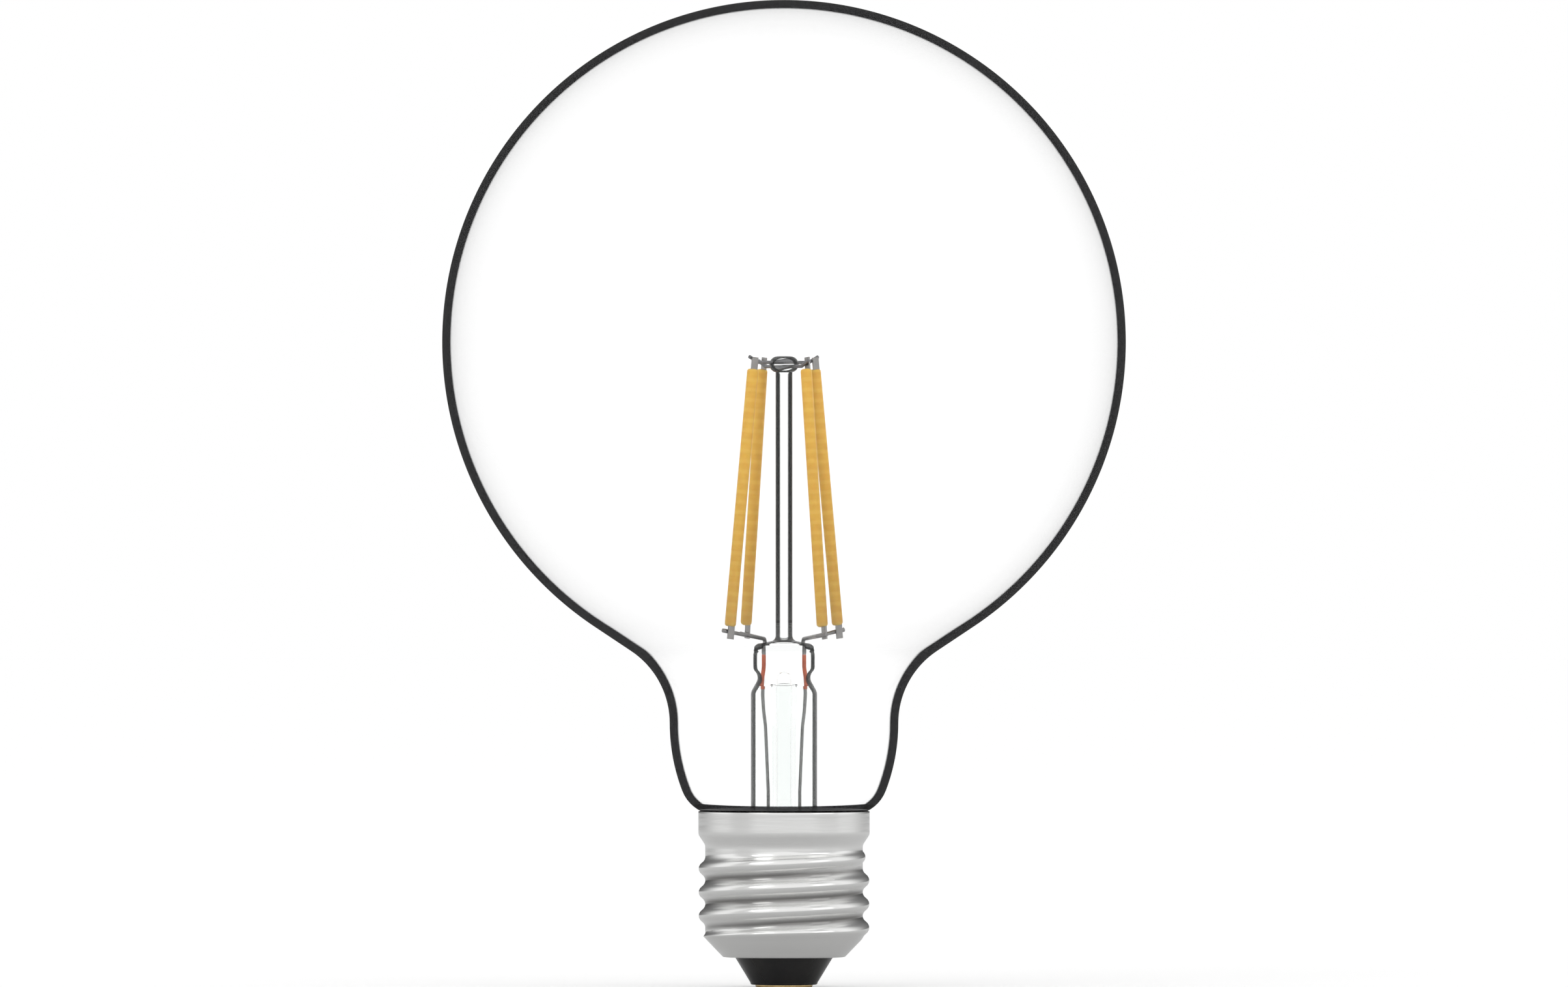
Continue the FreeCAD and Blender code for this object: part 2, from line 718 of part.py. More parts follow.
def filament(index, name):
    """One filament: its coat with a pocket that fits the strip, dies and tabs, and each of those."""
    place = filament_place(index)
    rise = "(%s + filament_top_rise - %s - filament_foot_rise)" % (BUTTON, PRESS_TOP)
    half = "(sqrt(%s ^ 2 + (filament_foot_radius - filament_top_radius) ^ 2) / 2)" % rise
    coat = "(%s - tab_bare)" % half
    strip = "(%s - coat_cover)" % coat
    across = "(strip_width / 2)"
    back = "(-strip_thickness / 2)"
    tab_back = "(%s - tab_thickness)" % back
    front = "(strip_thickness / 2 + die_thickness)"

    body = turned(name + "_coat", [
        ("0", "-" + coat),
        ("coat_radius - coat_round", "-" + coat, "coat_round", 1),
        ("coat_radius", "-%s + coat_round" % coat),
        ("coat_radius", "%s - coat_round" % coat, "coat_round", 1),
        ("coat_radius - coat_round", coat),
        ("0", coat),
    ])
    block(body, "Pocket", "strip_pocket",
          ("-%s - seal_gap" % across, across + " + seal_gap", back + " - seal_gap", front + " + seal_gap"),
          "-%s - seal_gap" % strip, "2 * (%s + seal_gap)" % strip)
    slot_sides = ("-tab_width / 2 - seal_gap", "tab_width / 2 + seal_gap", tab_back + " - seal_gap", back)
    block(body, "Pocket", "top_slot", slot_sides, coat + " - tab_grip - seal_gap", "tab_grip + 2 * seal_gap")
    block(body, "Pocket", "foot_slot", slot_sides, "-%s - seal_gap" % coat, "tab_grip + 2 * seal_gap")
    body.Placement = place
    keep(body, name + "_coat")

    body = doc.addObject("PartDesign::Body", name + "_strip")
    strip_sides = ("-" + across, across, back, "strip_thickness / 2")
    block(body, "Pad", "strip", strip_sides, "-" + strip, "2 * " + strip)
    body.Placement = place
    keep(body, name + "_strip")

    tab_sides = ("-tab_width / 2", "tab_width / 2", tab_back, back)
    for end, foot in (("top", coat + " - tab_grip"), ("foot", "-" + half)):
        body = doc.addObject("PartDesign::Body", "%s_%s_tab" % (name, end))
        block(body, "Pad", "tab", tab_sides, foot, "tab_grip + tab_bare")
        body.Placement = place
        keep(body, "%s_%s_tab" % (name, end))

    dies = doc.addObject("Part::Feature", name + "_dies")
    count = int(size("die_count"))
    length, width, thickness = size("die_length"), size("die_width"), size("die_thickness")
    pitch = 2 * size(strip) / count
    corner = Vector(-width / 2, size("strip_thickness") / 2, (pitch - length) / 2 - size(strip))
    dies.Shape = Part.makeCompound([Part.makeBox(width, thickness, length, corner + UP * pitch * step)
                                    for step in range(count)])
    dies.Placement = place
    keep(dies, name + "_dies")


# Wires


def anchor_line(index):
    """The middle and direction of an anchor wire: the low one joins the second and fourth filaments."""
    first = 1 - index
    step = size("anchor_step") * (index - 0.5)
    return filament_side(first, "anchor_radius") + UP * (size(BUTTON) + step), radial(first)


def anchor_wires():
    """Two crossing wires through the button, whose ends rise past two filaments' tabs."""
    angle = math.radians(size("hook_angle"))
    rise = UP * math.sin(angle) * size("hook_length")
    for index, name in enumerate(("anchor_wire_low", "anchor_wire_high")):
        middle, direction = anchor_line(index)
        bend = direction * (filament_at(0, middle.z).dot(radial(0)) - size("hook_start"))
        end = bend + direction * math.cos(angle) * size("hook_length")
        wire(name, [middle - end + rise, middle - bend, middle + bend, middle + end + rise],
             "anchor_radius", "bend_radius")


def lead_run(index):
    """The straight end of a wire that lies on a filament's foot tab."""
    beside = filament_side(index, "lead_radius")
    tab = radial(index) * size("filament_foot_radius") + beside
    ends = []
    for step in (-size("lead_straight"), size("lead_reach")):
        point = tab + radial(index) * step
        point.z = size(LEAD_HEIGHT) + size("lead_slope") * (abs(point.x) - size(LEAD_OFFSET))
        ends.append(point)
    return ends


def lead_wires():
    """On each side: lead to the outer filament, branch to the inner, seal wire and tail to the board."""
    for side, name, outer, inner in ((-1, "left", 2, 1), (1, "right", 0, 3)):
        across = Vector(side * size(LEAD_OFFSET), 0, 0)
        seal_foot, seal_top = size(SEAL_FOOT), size(SEAL_FOOT + " + seal_length")
        bend = across + UP * size(LEAD_HEIGHT)
        wire(name + "_lead", [across + UP * (seal_top + size("seal_gap")), bend] + lead_run(outer),
             "lead_radius", "bend_radius")
        inward = Vector(0, math.copysign(size("2 * lead_radius + 2 * seal_gap"), radial(inner).y), 0)
        branch_foot = bend + inward - UP * size("branch_run")
        wire(name + "_branch", [branch_foot, bend + inward] + lead_run(inner), "lead_radius", "bend_radius")
        keep(cylinder(name + "_seal_wire", "lead_radius", "seal_length", x="%d * %s" % (side, LEAD_OFFSET),
                      z=SEAL_FOOT), name + "_seal_wire")
        beside_pump = "(pump_radius + tail_gap + tail_radius)"
        route = [(LEAD_OFFSET, SEAL_FOOT + " - seal_gap"), (LEAD_OFFSET, SEAL_FOOT + " - tail_stub"),
                 (beside_pump, NECK_FOOT + " + tail_high"), (beside_pump, NECK_FOOT + " + tail_low"),
                 ("pad_offset", BOARD_TOP + " + pad_rise"), ("pad_offset", BOARD_FOOT + " - wire_stub")]
        wire(name + "_tail", [Vector(side * size(out), 0, size(height)) for out, height in route],
             "tail_radius", "tail_bend")
    keep(cylinder("centre_wire", "tail_radius", "%s + wire_stub - solder_core - seal_gap" % BOARD_TOP,
                  z="solder_core + seal_gap"), "centre_wire")


# Driver board


def driver_board():
    """The round board that rests on the cap's cone, drilled for the two tails and the centre wire."""
    depth = "board_thickness + 2 * seal_gap"
    foot = BOARD_FOOT + " - seal_gap"
    holes = [cylinder("wire_hole_%d" % (side + 1), "wire_hole", depth, x="%d * pad_offset" % side, z=foot)
             for side in (-1, 0, 1)]
    blank = cylinder("board_blank", "board_radius", "board_thickness", z=BOARD_FOOT)
    keep(cut("driver_board", blank, *holes), "driver_board")


def leaded_chip(name, length, width, height, offset, pins):
    """A moulded block on flat pins along its two long sides, with its length across the board."""
    parts = [box(name + "_case", width, length, height, x=offset, z=BOARD_TOP + " + pin_lift")]
    pins = int(size(pins))
    for side in (-1, 1):
        for step in range(pins):
            reach = "%s + %d * ((%s) / 2 + (pin_length - pin_root) / 2)" % (offset, side, width)
            along = "(%s) * %f" % (length, (step + 0.5) / pins - 0.5)
            parts.append(box("%s_pin_%d_%d" % (name, side + 1, step), "pin_length + pin_root", "pin_width",
                             "pin_thickness", x=reach, y=along, z=BOARD_TOP))
    keep(fuse(name, *parts), name)


def board_parts():
    """What the board carries round the pumping tube's tip."""
    leaded_chip("driver_chip", "driver_length", "driver_width", "driver_height", "driver_offset",
                "driver_pins")
    leaded_chip("bridge_rectifier", "bridge_length", "bridge_width", "bridge_height", "-bridge_offset",
                "bridge_pins")

    can_height = "(%s - can_headroom - %s)" % (NECK_FOOT, BOARD_TOP)
    can = turned("smoothing_capacitor", [
        ("0", "0"),
        ("can_radius", "0"),
        ("can_radius", "can_groove_height - can_groove"),
        ("can_radius - can_groove", "can_groove_height"),
        ("can_radius", "can_groove_height + can_groove"),
        ("can_radius", can_height + " - can_groove"),
        ("can_radius - can_groove", can_height),
        ("0", can_height),
    ])
    keep(bind(can, Placement__Base__y="can_offset", Placement__Base__z=BOARD_TOP), "smoothing_capacitor")

    core = turned("coil_core", [
        ("0", "0"),
        ("coil_radius", "0"),
        ("coil_radius", "coil_flange"),
        ("coil_waist", "coil_flange"),
        ("coil_waist", "coil_height - coil_flange"),
        ("coil_radius", "coil_height - coil_flange"),
        ("coil_radius", "coil_height"),
        ("0", "coil_height"),
    ])
    keep(bind(core, Placement__Base__y="-coil_offset", Placement__Base__z=BOARD_TOP), "coil_core")

    winding = turned("coil_winding", [
        ("coil_waist + seal_gap", "coil_flange + seal_gap"),
        ("coil_radius - winding_margin", "coil_flange + seal_gap"),
        ("coil_radius - winding_margin", "coil_height - coil_flange - seal_gap"),
        ("coil_waist + seal_gap", "coil_height - coil_flange - seal_gap"),
    ])
    keep(bind(winding, Placement__Base__y="-coil_offset", Placement__Base__z=BOARD_TOP), "coil_winding")

    resistors = doc.addObject("Part::Compound", "chip_resistors")
    links = []
    count = int(size("resistor_count"))
    for step in range(count):
        turn = FreeCAD.Rotation(UP, 360 * (step + 0.5) / count)
        chip = doc.addObject("Part::Box", "chip_resistor_%d" % step)
        bind(chip, Length="resistor_length", Width="resistor_width", Height="resistor_height")
        corner = Vector(size("resistor_offset - resistor_length / 2"), size("-resistor_width / 2"),
                        size(BOARD_TOP))
        chip.Placement = FreeCAD.Placement(turn.multVec(corner), turn)
        links.append(chip)
    resistors.Links = links
    keep(resistors, "chip_resistors")

    solder = turned("side_solder", [
        ("board_radius - side_solder_width", "0"),
        ("root_radius - cap_sheet - seal_gap", "0"),
        ("root_radius - cap_sheet - seal_gap", "side_solder_height"),
    ], "side_solder_angle")
    solder.Placement = FreeCAD.Placement(Vector(), FreeCAD.Rotation(UP, size("side_solder_turn")))
    keep(bind(solder, Placement__Base__z=BOARD_TOP), "side_solder")


def check(items):
    """Stops the build where an object failed or a piece has no sound shape."""
    for item in items:
        if "Invalid" in item.State or "Error" in item.State:
            raise SystemExit("%s didn't build" % item.Label)
    for piece in pieces:
        if piece.Shape.isNull() or not piece.Shape.isValid() or not piece.Shape.Solids:
            raise SystemExit("%s has no sound shape" % piece.Label)


glass_globe()
cap_shell()
insulator()
centre_contact()
cement_ring()
stem()
pump_tube()
post()
for filament_index, filament_name in enumerate(FILAMENTS):
    filament(filament_index, "filament_" + filament_name)
anchor_wires()
lead_wires()
driver_board()
board_parts()
doc.recompute()
check(doc.Objects)

os.makedirs("parts", exist_ok=True)
for piece in pieces:
    piece.Shape.exportStep(os.path.join("parts", piece.Label + ".step"))
print("%d pieces written" % len(pieces))
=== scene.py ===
import math

import bmesh
import bpy
from mathutils import Matrix, Vector


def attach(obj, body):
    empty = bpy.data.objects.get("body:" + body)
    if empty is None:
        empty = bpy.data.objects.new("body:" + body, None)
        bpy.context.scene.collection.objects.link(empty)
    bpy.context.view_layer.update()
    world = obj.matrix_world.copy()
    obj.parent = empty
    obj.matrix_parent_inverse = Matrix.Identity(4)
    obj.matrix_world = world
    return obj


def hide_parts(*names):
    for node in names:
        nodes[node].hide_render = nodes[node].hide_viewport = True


# A clear globe bulb, unlit, upright on a white ground. Sizes are in millimetres and become metres in
# the meshes. Radii are measured from the bulb's upright axis, and heights from the contact's face.
MM = 0.001
FULL_TURN = 2 * math.pi

# Nearness: a hair and a trace are in millimetres, and the distance at which points join is in metres
HAIR = 0.01
TRACE = 1e-4
WELD = 1e-7

# Globe: a ball, a straight run to a hollow shoulder, a waist, a bow down to the mouth at the cap, and
# a neck inside the cap. The slant makes the inner mouth fit a wall of an even thickness.
GLOBE_RADIUS = 52.5
SHOULDER_RUN = 6.704
SHOULDER_RADIUS = 13.3
WAIST_RADIUS = 17.56
WAIST_HEIGHT = 40.5
BOW_RADIUS = 29.0
BOW_ANGLE = math.radians(21)
MOUTH_RADIUS = 12.6
MOUTH_SLANT = 1.2
MOUTH_HEIGHT = 26.9
NECK_RADIUS = 11.3
NECK_TOP = 24.6
NECK_FOOT = 19.0
GLASS_WALL = 0.75

# Dark rims of the glass, painted shade along its outline: their widths, the largest share of a radius
# that one takes, the share of the rest of the turn in which it gets fully dark, and the mark of a point
# that has none
GLOBE_RIM = 1.5
STEM_RIM = 0.85
WIDEST_RIM = 0.9
RIM_SOFTNESS = 0.1
NO_RIM = 0.98

# Dark line of painted shade on the glass where the globe enters the cap: its height above the mouth, and
# what it overlaps below
JUNCTION_SHADE_HEIGHT = 0.8
JUNCTION_SHADE_OVERLAP = 0.1

# Stem tube: its flare, its top, and the bore that narrows to a flat roof
STEM_RADIUS = 5.115
STEM_WALL = 0.9
FLARE_RIM = 10.53
TUBE_TOP = 45.04
TAPER_FOOT = 40.0
ROOF_HEIGHT = 46.2
ROOF_WIDTH = 3.75
ROOF_DEPTH = 2.1

# Press: half its width between two heights, and the points that its side passes below them, as
# (half width, height), each with the radius of the arc that leads down to the next
PRESS_TOP = 53.1
PRESS_WIDTH = 4.73
PRESS_SIDE_TOP = 51.97
PRESS_SIDE_FOOT = 49.65
PRESS_SIDE_ROUND = 1.2
PINCH_TOP = (4.449, 48.879)
PINCH_ROUND = 1.6
PINCH_FOOT = (4.262, 47.1)
TUBE_SHOULDER = (4.9, 45.9)
TUBE_ROUND = 1.84

# Crown of the press: half its width, its rise towards the post, the arc of its corners, and how deep
# it is for its width at the post
CROWN_WIDTH = 3.6
CROWN_RISE = 0.3
CROWN_ROUND = 1.13
CROWN_DEPTH = 0.9

# Heights from the foot of the press to its top, each with half its width and half its depth there
PRESS_SECTIONS = [
    (TUBE_TOP, STEM_RADIUS, STEM_RADIUS),
    (PINCH_FOOT[1], PINCH_FOOT[0], 3.97),
    (47.9, 4.09, 3.52),
    (48.9, 4.455, 2.97),
    (PRESS_SIDE_FOOT, PRESS_WIDTH, 2.6),
    (50.4, PRESS_WIDTH, 2.55),
    (PRESS_SIDE_TOP, PRESS_WIDTH, 2.55),
    (PRESS_TOP, CROWN_WIDTH, 2.35),
]

# Pumping tube inside the stem, and the post with the flat button on it
PUMP_RADIUS = 1.8
PUMP_BORE = 1.1
PUMP_TIP = 12.59
PUMP_PASSAGE = 48.7
POST_RADIUS = 1.29
POST_FILLET = 0.85
BUTTON_HEIGHT = 95.56
BUTTON_ROUND = 1.27
BUTTON_FLAT = 0.98

# Screw cap, from the hole in its foot, over the flange, the cone, the thread's root and a step, up to
# the edge of the plain band. Each bend is the radius of a corner.
CAP_SHEET = 0.25
FOOT_HOLE = 6.6
FLANGE_HEIGHT = 4.6
FLANGE_RADIUS = 9.35
FLANGE_BEND = 0.5
CONE_SLOPE = 2.85 / 2.75
CONE_BEND = 0.8
ROOT_RADIUS = 12.1
STEP_FOOT = 21.8
STEP_TOP = 23.4
STEP_BEND = 1.0
BAND_RADIUS = 13.15
BAND_TOP = 27.0
BAND_BEND = 0.12

# Round thread: half the length of its round crests and roots, the height of its crest at the start,
# how many turns past its ends it runs out and how many depths it sinks there, the stretch of the cap
# that it can roll, and the height above which its grooves get painted shade
THREAD_PITCH = 3.629
THREAD_DEPTH = 1.0
THREAD_ROUND = 1.025
THREAD_ARC = 0.8
THREAD_START = 8.2
THREAD_TURNS = 3.0
RUNOUT_TURNS = 0.5
RUNOUT_SINK = 1.2
ROLLED_FROM = 6.4
ROLLED_TO = 21.6
ROLLED_SHEET = 0.3
GROOVE_SHADE_FROM = 7.9

# Light rods: the first one's angle from the right, the ends of each as (radius, height), the tab that
# its coat leaves bare, the coat's radius and edge, and the distance between its dies
FILAMENTS = ["right_back", "left_back", "left_front", "right_front"]
FILAMENT_ANGLE = 35.4
FILAMENT_TOP = (5.65, 96.65)
FILAMENT_FOOT = (10.3, 53.75)
TAB_BARE = 1.82
COAT_RADIUS = 0.865
COAT_ROUND = 0.36
DIE_PITCH = 1.572

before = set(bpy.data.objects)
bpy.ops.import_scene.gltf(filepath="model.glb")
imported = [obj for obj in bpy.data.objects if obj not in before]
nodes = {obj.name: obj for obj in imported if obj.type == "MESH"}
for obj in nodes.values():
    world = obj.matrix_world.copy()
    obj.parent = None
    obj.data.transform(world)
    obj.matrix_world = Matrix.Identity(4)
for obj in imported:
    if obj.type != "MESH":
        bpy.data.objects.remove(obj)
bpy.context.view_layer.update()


# Mesh helpers


def draw_outline(bm, corners, step):
    """Draws a half section through its corners, in steps of about the given length.

    A corner is (radius, height). One whose next side is an arc is (radius, height, arc radius, turn),
    where turn is 1 if the arc's centre lies to the left of the way it runs, and -1 to the right.
    """
    pen = bm.verts.new((corners[0][0] * MM, 0, corners[0][1] * MM))
    for corner, after in zip(corners, corners[1:]):
        start = Vector((corner[0], 0, corner[1])) * MM
        end = Vector((after[0], 0, after[1])) * MM
        chord = end - start
        if len(corner) == 2:
            steps = max(1, round(chord.length / (step * MM)))
            move = Matrix.Translation(chord / steps)
        else:
            radius, turn = corner[2] * MM, corner[3]
            to_left = Vector((-chord.z, 0, chord.x)).normalized()
            reach = math.sqrt(max(radius ** 2 - chord.length_squared / 4, 0))
            centre = start + chord / 2 + to_left * turn * reach
            angle = 2 * math.asin(min(chord.length / 2 / radius, 1))
            steps = max(3, math.ceil(radius * angle / (step * MM)))
            swing = Matrix.Rotation(-turn * angle / steps, 4, "Y")
            move = Matrix.Translation(centre) @ swing @ Matrix.Translation(-centre)
        for _ in range(steps):
            pen = bmesh.ops.extrude_vert_indiv(bm, verts=[pen])["verts"][0]
            bmesh.ops.transform(bm, matrix=move, verts=[pen])
        pen.co = end


def with_bends(corners):
    """The corners of a half section for draw_outline, where (radius, height, bend) is a rounded one."""
    rounded = []
    for number, corner in enumerate(corners):
        if len(corner) == 2:
            rounded.append(corner)
            continue
        here, bend = Vector(corner[:2]), corner[2]
        back = Vector(corners[number - 1][:2]) - here
        ahead = Vector(corners[number + 1][:2]) - here
        run = bend / math.tan(back.angle(ahead) / 2)
        start = here + back.normalized() * run
        end = here + ahead.normalized() * run
        rounded.append((start.x, start.y, bend, 1 if ahead.cross(back) > 0 else -1))
        rounded.append((end.x, end.y))
    return rounded


def spin_round(bm, sides):
    """Spins what is drawn so far round the bulb's axis and closes seams and poles."""
    bmesh.ops.remove_doubles(bm, verts=bm.verts[:], dist=WELD)
    bmesh.ops.spin(bm, geom=bm.verts[:] + bm.edges[:], cent=(0, 0, 0), axis=(0, 0, 1), angle=FULL_TURN,
                   steps=sides, use_merge=True)
    bmesh.ops.remove_doubles(bm, verts=bm.verts[:], dist=WELD)
    bmesh.ops.dissolve_degenerate(bm, edges=bm.edges[:], dist=WELD / 10)
    bmesh.ops.recalc_face_normals(bm, faces=bm.faces[:])


def piece(bm, name, material, slot, *replaced, sharp=40):
    """Turns a bmesh into a piece of the bulb that stands for some of the solids.

    Edges with a greater angle than sharp, in degrees, aren't shaded smooth.
    """
    for face in bm.faces:
        face.smooth = True
    for edge in bm.edges:
        edge.smooth = len(edge.link_faces) != 2 or edge.calc_face_angle() < math.radians(sharp)
    mesh = bpy.data.meshes.new(name)
    bm.to_mesh(mesh)
    bm.free()
    mesh.materials.append(material)
    made = bpy.data.objects.new(name, mesh)
    bpy.context.scene.collection.objects.link(made)
    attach(made, "root")
    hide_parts(*replaced)


def rim_start(share):
    """How far a round wall has turned from the eye where a rim that takes a share of its radius begins."""
    return 1 - math.sqrt(1 - (1 - share) ** 2)


def mark_rim(bm, width, marked, flatness=None):
    """Notes on each outer point of a glass piece how far it has turned where its painted dark rim begins.

    The rim is about as wide on tight bends as on wide ones, and from every side. Marked says which
    points have one, and flatness how deep the glass is for its width at a height.
    """
    rim = bm.verts.layers.float.new("rim")
    bm.normal_update()
    for vert in bm.verts:
        ratio = flatness(vert.co.z / MM) if flatness else 1.0
        across, level = vert.co.copy(), vert.normal.copy()
        across.y /= ratio
        across.z = level.z = 0
        if level.dot(across) <= 0 or not marked(vert.co) or across.length < WELD:
            vert[rim] = NO_RIM
            continue
        side = level.normalized()
        bend = (side.x / ratio) ** 2 + side.y ** 2 * ratio
        vert[rim] = rim_start(min(width * MM * bend * level.length / across.length, WIDEST_RIM))
    for vert in bm.verts:
        if math.hypot(vert.co.x, vert.co.y) < WELD and vert.normal.z > 0 and marked(vert.co):
            vert[rim] = vert.link_edges[0].other_vert(vert)[rim]


# Shader nodes and groups


def math_node(tree, operation, second=None):
    """A node that works out one value, with a constant second input if one is given."""
    node = tree.nodes.new("ShaderNodeMath")
    node.operation = operation
    if second is not None:
        node.inputs[1].default_value = second
    return node


def range_node(tree, source=(0.0, 1.0), result=(0.0, 1.0), smooth=True):
    """A node that maps one range of a value onto another."""
    node = tree.nodes.new("ShaderNodeMapRange")
    node.interpolation_type = "SMOOTHSTEP" if smooth else "LINEAR"
    for label, value in zip(("From Min", "From Max", "To Min", "To Max"), source + result):
        node.inputs[label].default_value = value
    return node


def colour_node(tree, first=None, second=None):
    """A node that blends two colours, with constants for those that are given."""
    node = tree.nodes.new("ShaderNodeMix")
    node.data_type = "RGBA"
    for label, colour in (("A", first), ("B", second)):
        if colour:
            node.inputs[label].default_value = (*colour, 1)
    return node


def noted(tree, name):
    """The value that the points of a mesh hold under a name."""
    node = tree.nodes.new("ShaderNodeAttribute")
    node.attribute_name = name
    return node.outputs["Fac"]


def shader_group(name, inputs, outputs):
    """An empty node group with typed and named sockets, and its two end nodes."""
    group = bpy.data.node_groups.new(name, "ShaderNodeTree")
    for label, kind, value in inputs:
        socket = group.interface.new_socket(label, in_out="INPUT", socket_type="NodeSocket" + kind)
        socket.default_value = value
    for label, kind in outputs:
        group.interface.new_socket(label, in_out="OUTPUT", socket_type="NodeSocket" + kind)
    return group, group.nodes.new("NodeGroupInput"), group.nodes.new("NodeGroupOutput")


NOISE_MIDDLE = (0.3, 0.7)
FINE_TO_CLOUDY = 4.3
RELIEF_STRENGTH = 0.6


def make_grain():
    """Cloudy colour, uneven gloss and a fine relief, all stretched along chosen directions."""
    group, given, out = shader_group(
        "surface grain",
        [("Colour", "Color", (0.8, 0.8, 0.8, 1)), ("Shade", "Color", (0.6, 0.6, 0.6, 1)),
         ("Scale", "Float", 400.0), ("Stretch", "Vector", (1, 1, 1)),
         ("Smoothest", "Float", 0.2), ("Roughest", "Float", 0.4)],
        [("Colour", "Color"), ("Roughness", "Float"), ("Height", "Float")])
    link = group.links.new
    place = group.nodes.new("ShaderNodeTexCoord")
    stretch = group.nodes.new("ShaderNodeVectorMath")
    stretch.operation = "MULTIPLY"
    cloud = group.nodes.new("ShaderNodeTexNoise")
    cloud.inputs["Detail"].default_value = 4
    fine = group.nodes.new("ShaderNodeTexNoise")
    fine.inputs["Detail"].default_value = 6
    fine_scale = math_node(group, "MULTIPLY", FINE_TO_CLOUDY)
    spread = range_node(group, NOISE_MIDDLE, smooth=False)
    blend = colour_node(group)
    gloss = range_node(group, NOISE_MIDDLE, smooth=False)
    link(place.outputs["Object"], stretch.inputs[0])
    link(given.outputs["Stretch"], stretch.inputs[1])
    link(stretch.outputs["Vector"], cloud.inputs["Vector"])
    link(stretch.outputs["Vector"], fine.inputs["Vector"])
    link(given.outputs["Scale"], cloud.inputs["Scale"])
    link(given.outputs["Scale"], fine_scale.inputs[0])
    link(fine_scale.outputs["Value"], fine.inputs["Scale"])
    link(cloud.outputs["Fac"], spread.inputs["Value"])
    link(spread.outputs["Result"], blend.inputs["Factor"])
    link(given.outputs["Colour"], blend.inputs["A"])
    link(given.outputs["Shade"], blend.inputs["B"])
    link(fine.outputs["Fac"], gloss.inputs["Value"])
    link(given.outputs["Smoothest"], gloss.inputs["To Min"])
    link(given.outputs["Roughest"], gloss.inputs["To Max"])
    link(blend.outputs["Result"], out.inputs["Colour"])
    link(gloss.outputs["Result"], out.inputs["Roughness"])
    link(fine.outputs["Fac"], out.inputs["Height"])
    return group


GRAIN = make_grain()


# Materials


def new_material(name):
    """A material, its node tree and its surface shader."""
    material = bpy.data.materials.new(name)
    material.use_nodes = True
    return material, material.node_tree, material.node_tree.nodes["Principled BSDF"]


def grained(name, colour, shade, gloss, scale=400.0, stretch=(1, 1, 1), relief=0.0, metallic=0.0,
            **sockets):
    """A material whose colour, gloss and relief come from the surface grain.

    Gloss is its smallest and its greatest roughness, and relief its height in millimetres.
    """
    material, tree, shader = new_material(name)
    grain = tree.nodes.new("ShaderNodeGroup")
    grain.node_tree = GRAIN
    grain.inputs["Colour"].default_value = (*colour, 1)
    grain.inputs["Shade"].default_value = (*shade, 1)
    grain.inputs["Scale"].default_value = scale
    grain.inputs["Stretch"].default_value = stretch
    grain.inputs["Smoothest"].default_value = gloss[0]
    grain.inputs["Roughest"].default_value = gloss[1]
    tree.links.new(grain.outputs["Colour"], shader.inputs["Base Color"])
    tree.links.new(grain.outputs["Roughness"], shader.inputs["Roughness"])
    if relief:
        bump = tree.nodes.new("ShaderNodeBump")
        bump.inputs["Strength"].default_value = RELIEF_STRENGTH
        bump.inputs["Distance"].default_value = relief * MM
        tree.links.new(grain.outputs["Height"], bump.inputs["Height"])
        tree.links.new(bump.outputs["Normal"], shader.inputs["Normal"])
    shader.inputs["Metallic"].default_value = metallic
    for label, value in sockets.items():
        shader.inputs[label.replace("_", " ")].default_value = value
    return material


def blend_grain(material, share, colour):
    """Leads the colour of a grained material towards another one by a share from 0 to 1."""
    tree = material.node_tree
    grain = next(node for node in tree.nodes if node.type == "GROUP")
    blend = colour_node(tree, second=colour)
    tree.links.new(share, blend.inputs["Factor"])
    tree.links.new(grain.outputs["Colour"], blend.inputs["A"])
    tree.links.new(blend.outputs["Result"], tree.nodes["Principled BSDF"].inputs["Base Color"])


def glass(name, tint, rim_shade, ior):
    """Clear glass with painted shade along its outline, where the eye looks along the wall and not through
    it.

    The "rim" of a point says how far a surface has turned from the eye, from 0 to 1, where that begins.
    """
    material, tree, shader = new_material(name)
    shader.inputs["Roughness"].default_value = 0.0
    shader.inputs["IOR"].default_value = ior
    shader.inputs["Transmission Weight"].default_value = 1.0
    turned = tree.nodes.new("ShaderNodeLayerWeight")
    turned.inputs["Blend"].default_value = 0.5
    rim = noted(tree, "rim")
    full = range_node(tree, result=(RIM_SOFTNESS, 1.0), smooth=False)
    share = range_node(tree)
    blend = colour_node(tree, tint, rim_shade)
    tree.links.new(rim, full.inputs["Value"])
    tree.links.new(turned.outputs["Facing"], share.inputs["Value"])
    tree.links.new(rim, share.inputs["From Min"])
    tree.links.new(full.outputs["Result"], share.inputs["From Max"])
    tree.links.new(share.outputs["Result"], blend.inputs["Factor"])
    tree.links.new(blend.outputs["Result"], shader.inputs["Base Color"])
    return material


# The second colour of each glass is the painted shade of its dark outline
CLEAR_GLASS = glass("clear blown glass", (1.0, 1.0, 1.0), (0.0008, 0.0008, 0.0009), 1.4)
STEM_GLASS = glass("stem glass", (0.99, 1.0, 0.995), (0.0015, 0.0017, 0.0016), 1.2)
VITRITE = grained("black vitrite", (0.010, 0.010, 0.011), (0.018, 0.017, 0.016), (0.12, 0.24), scale=260,
                  relief=0.02, Specular_IOR_Level=0.35)
CONTACT_BRASS = grained("pressed brass", (0.78, 0.58, 0.29), (0.66, 0.47, 0.22), (0.18, 0.34), scale=500,
                        relief=0.01, metallic=1.0)
SOLDER = grained("solder", (0.68, 0.68, 0.69), (0.5, 0.5, 0.52), (0.22, 0.42), scale=900, relief=0.05,
                 metallic=1.0)
CEMENT = grained("cap cement", (0.62, 0.57, 0.48), (0.5, 0.45, 0.37), (0.8, 0.95), scale=900, relief=0.08)
STRIP = grained("strip ceramic", (0.85, 0.85, 0.82), (0.75, 0.75, 0.72), (0.5, 0.7), scale=900)
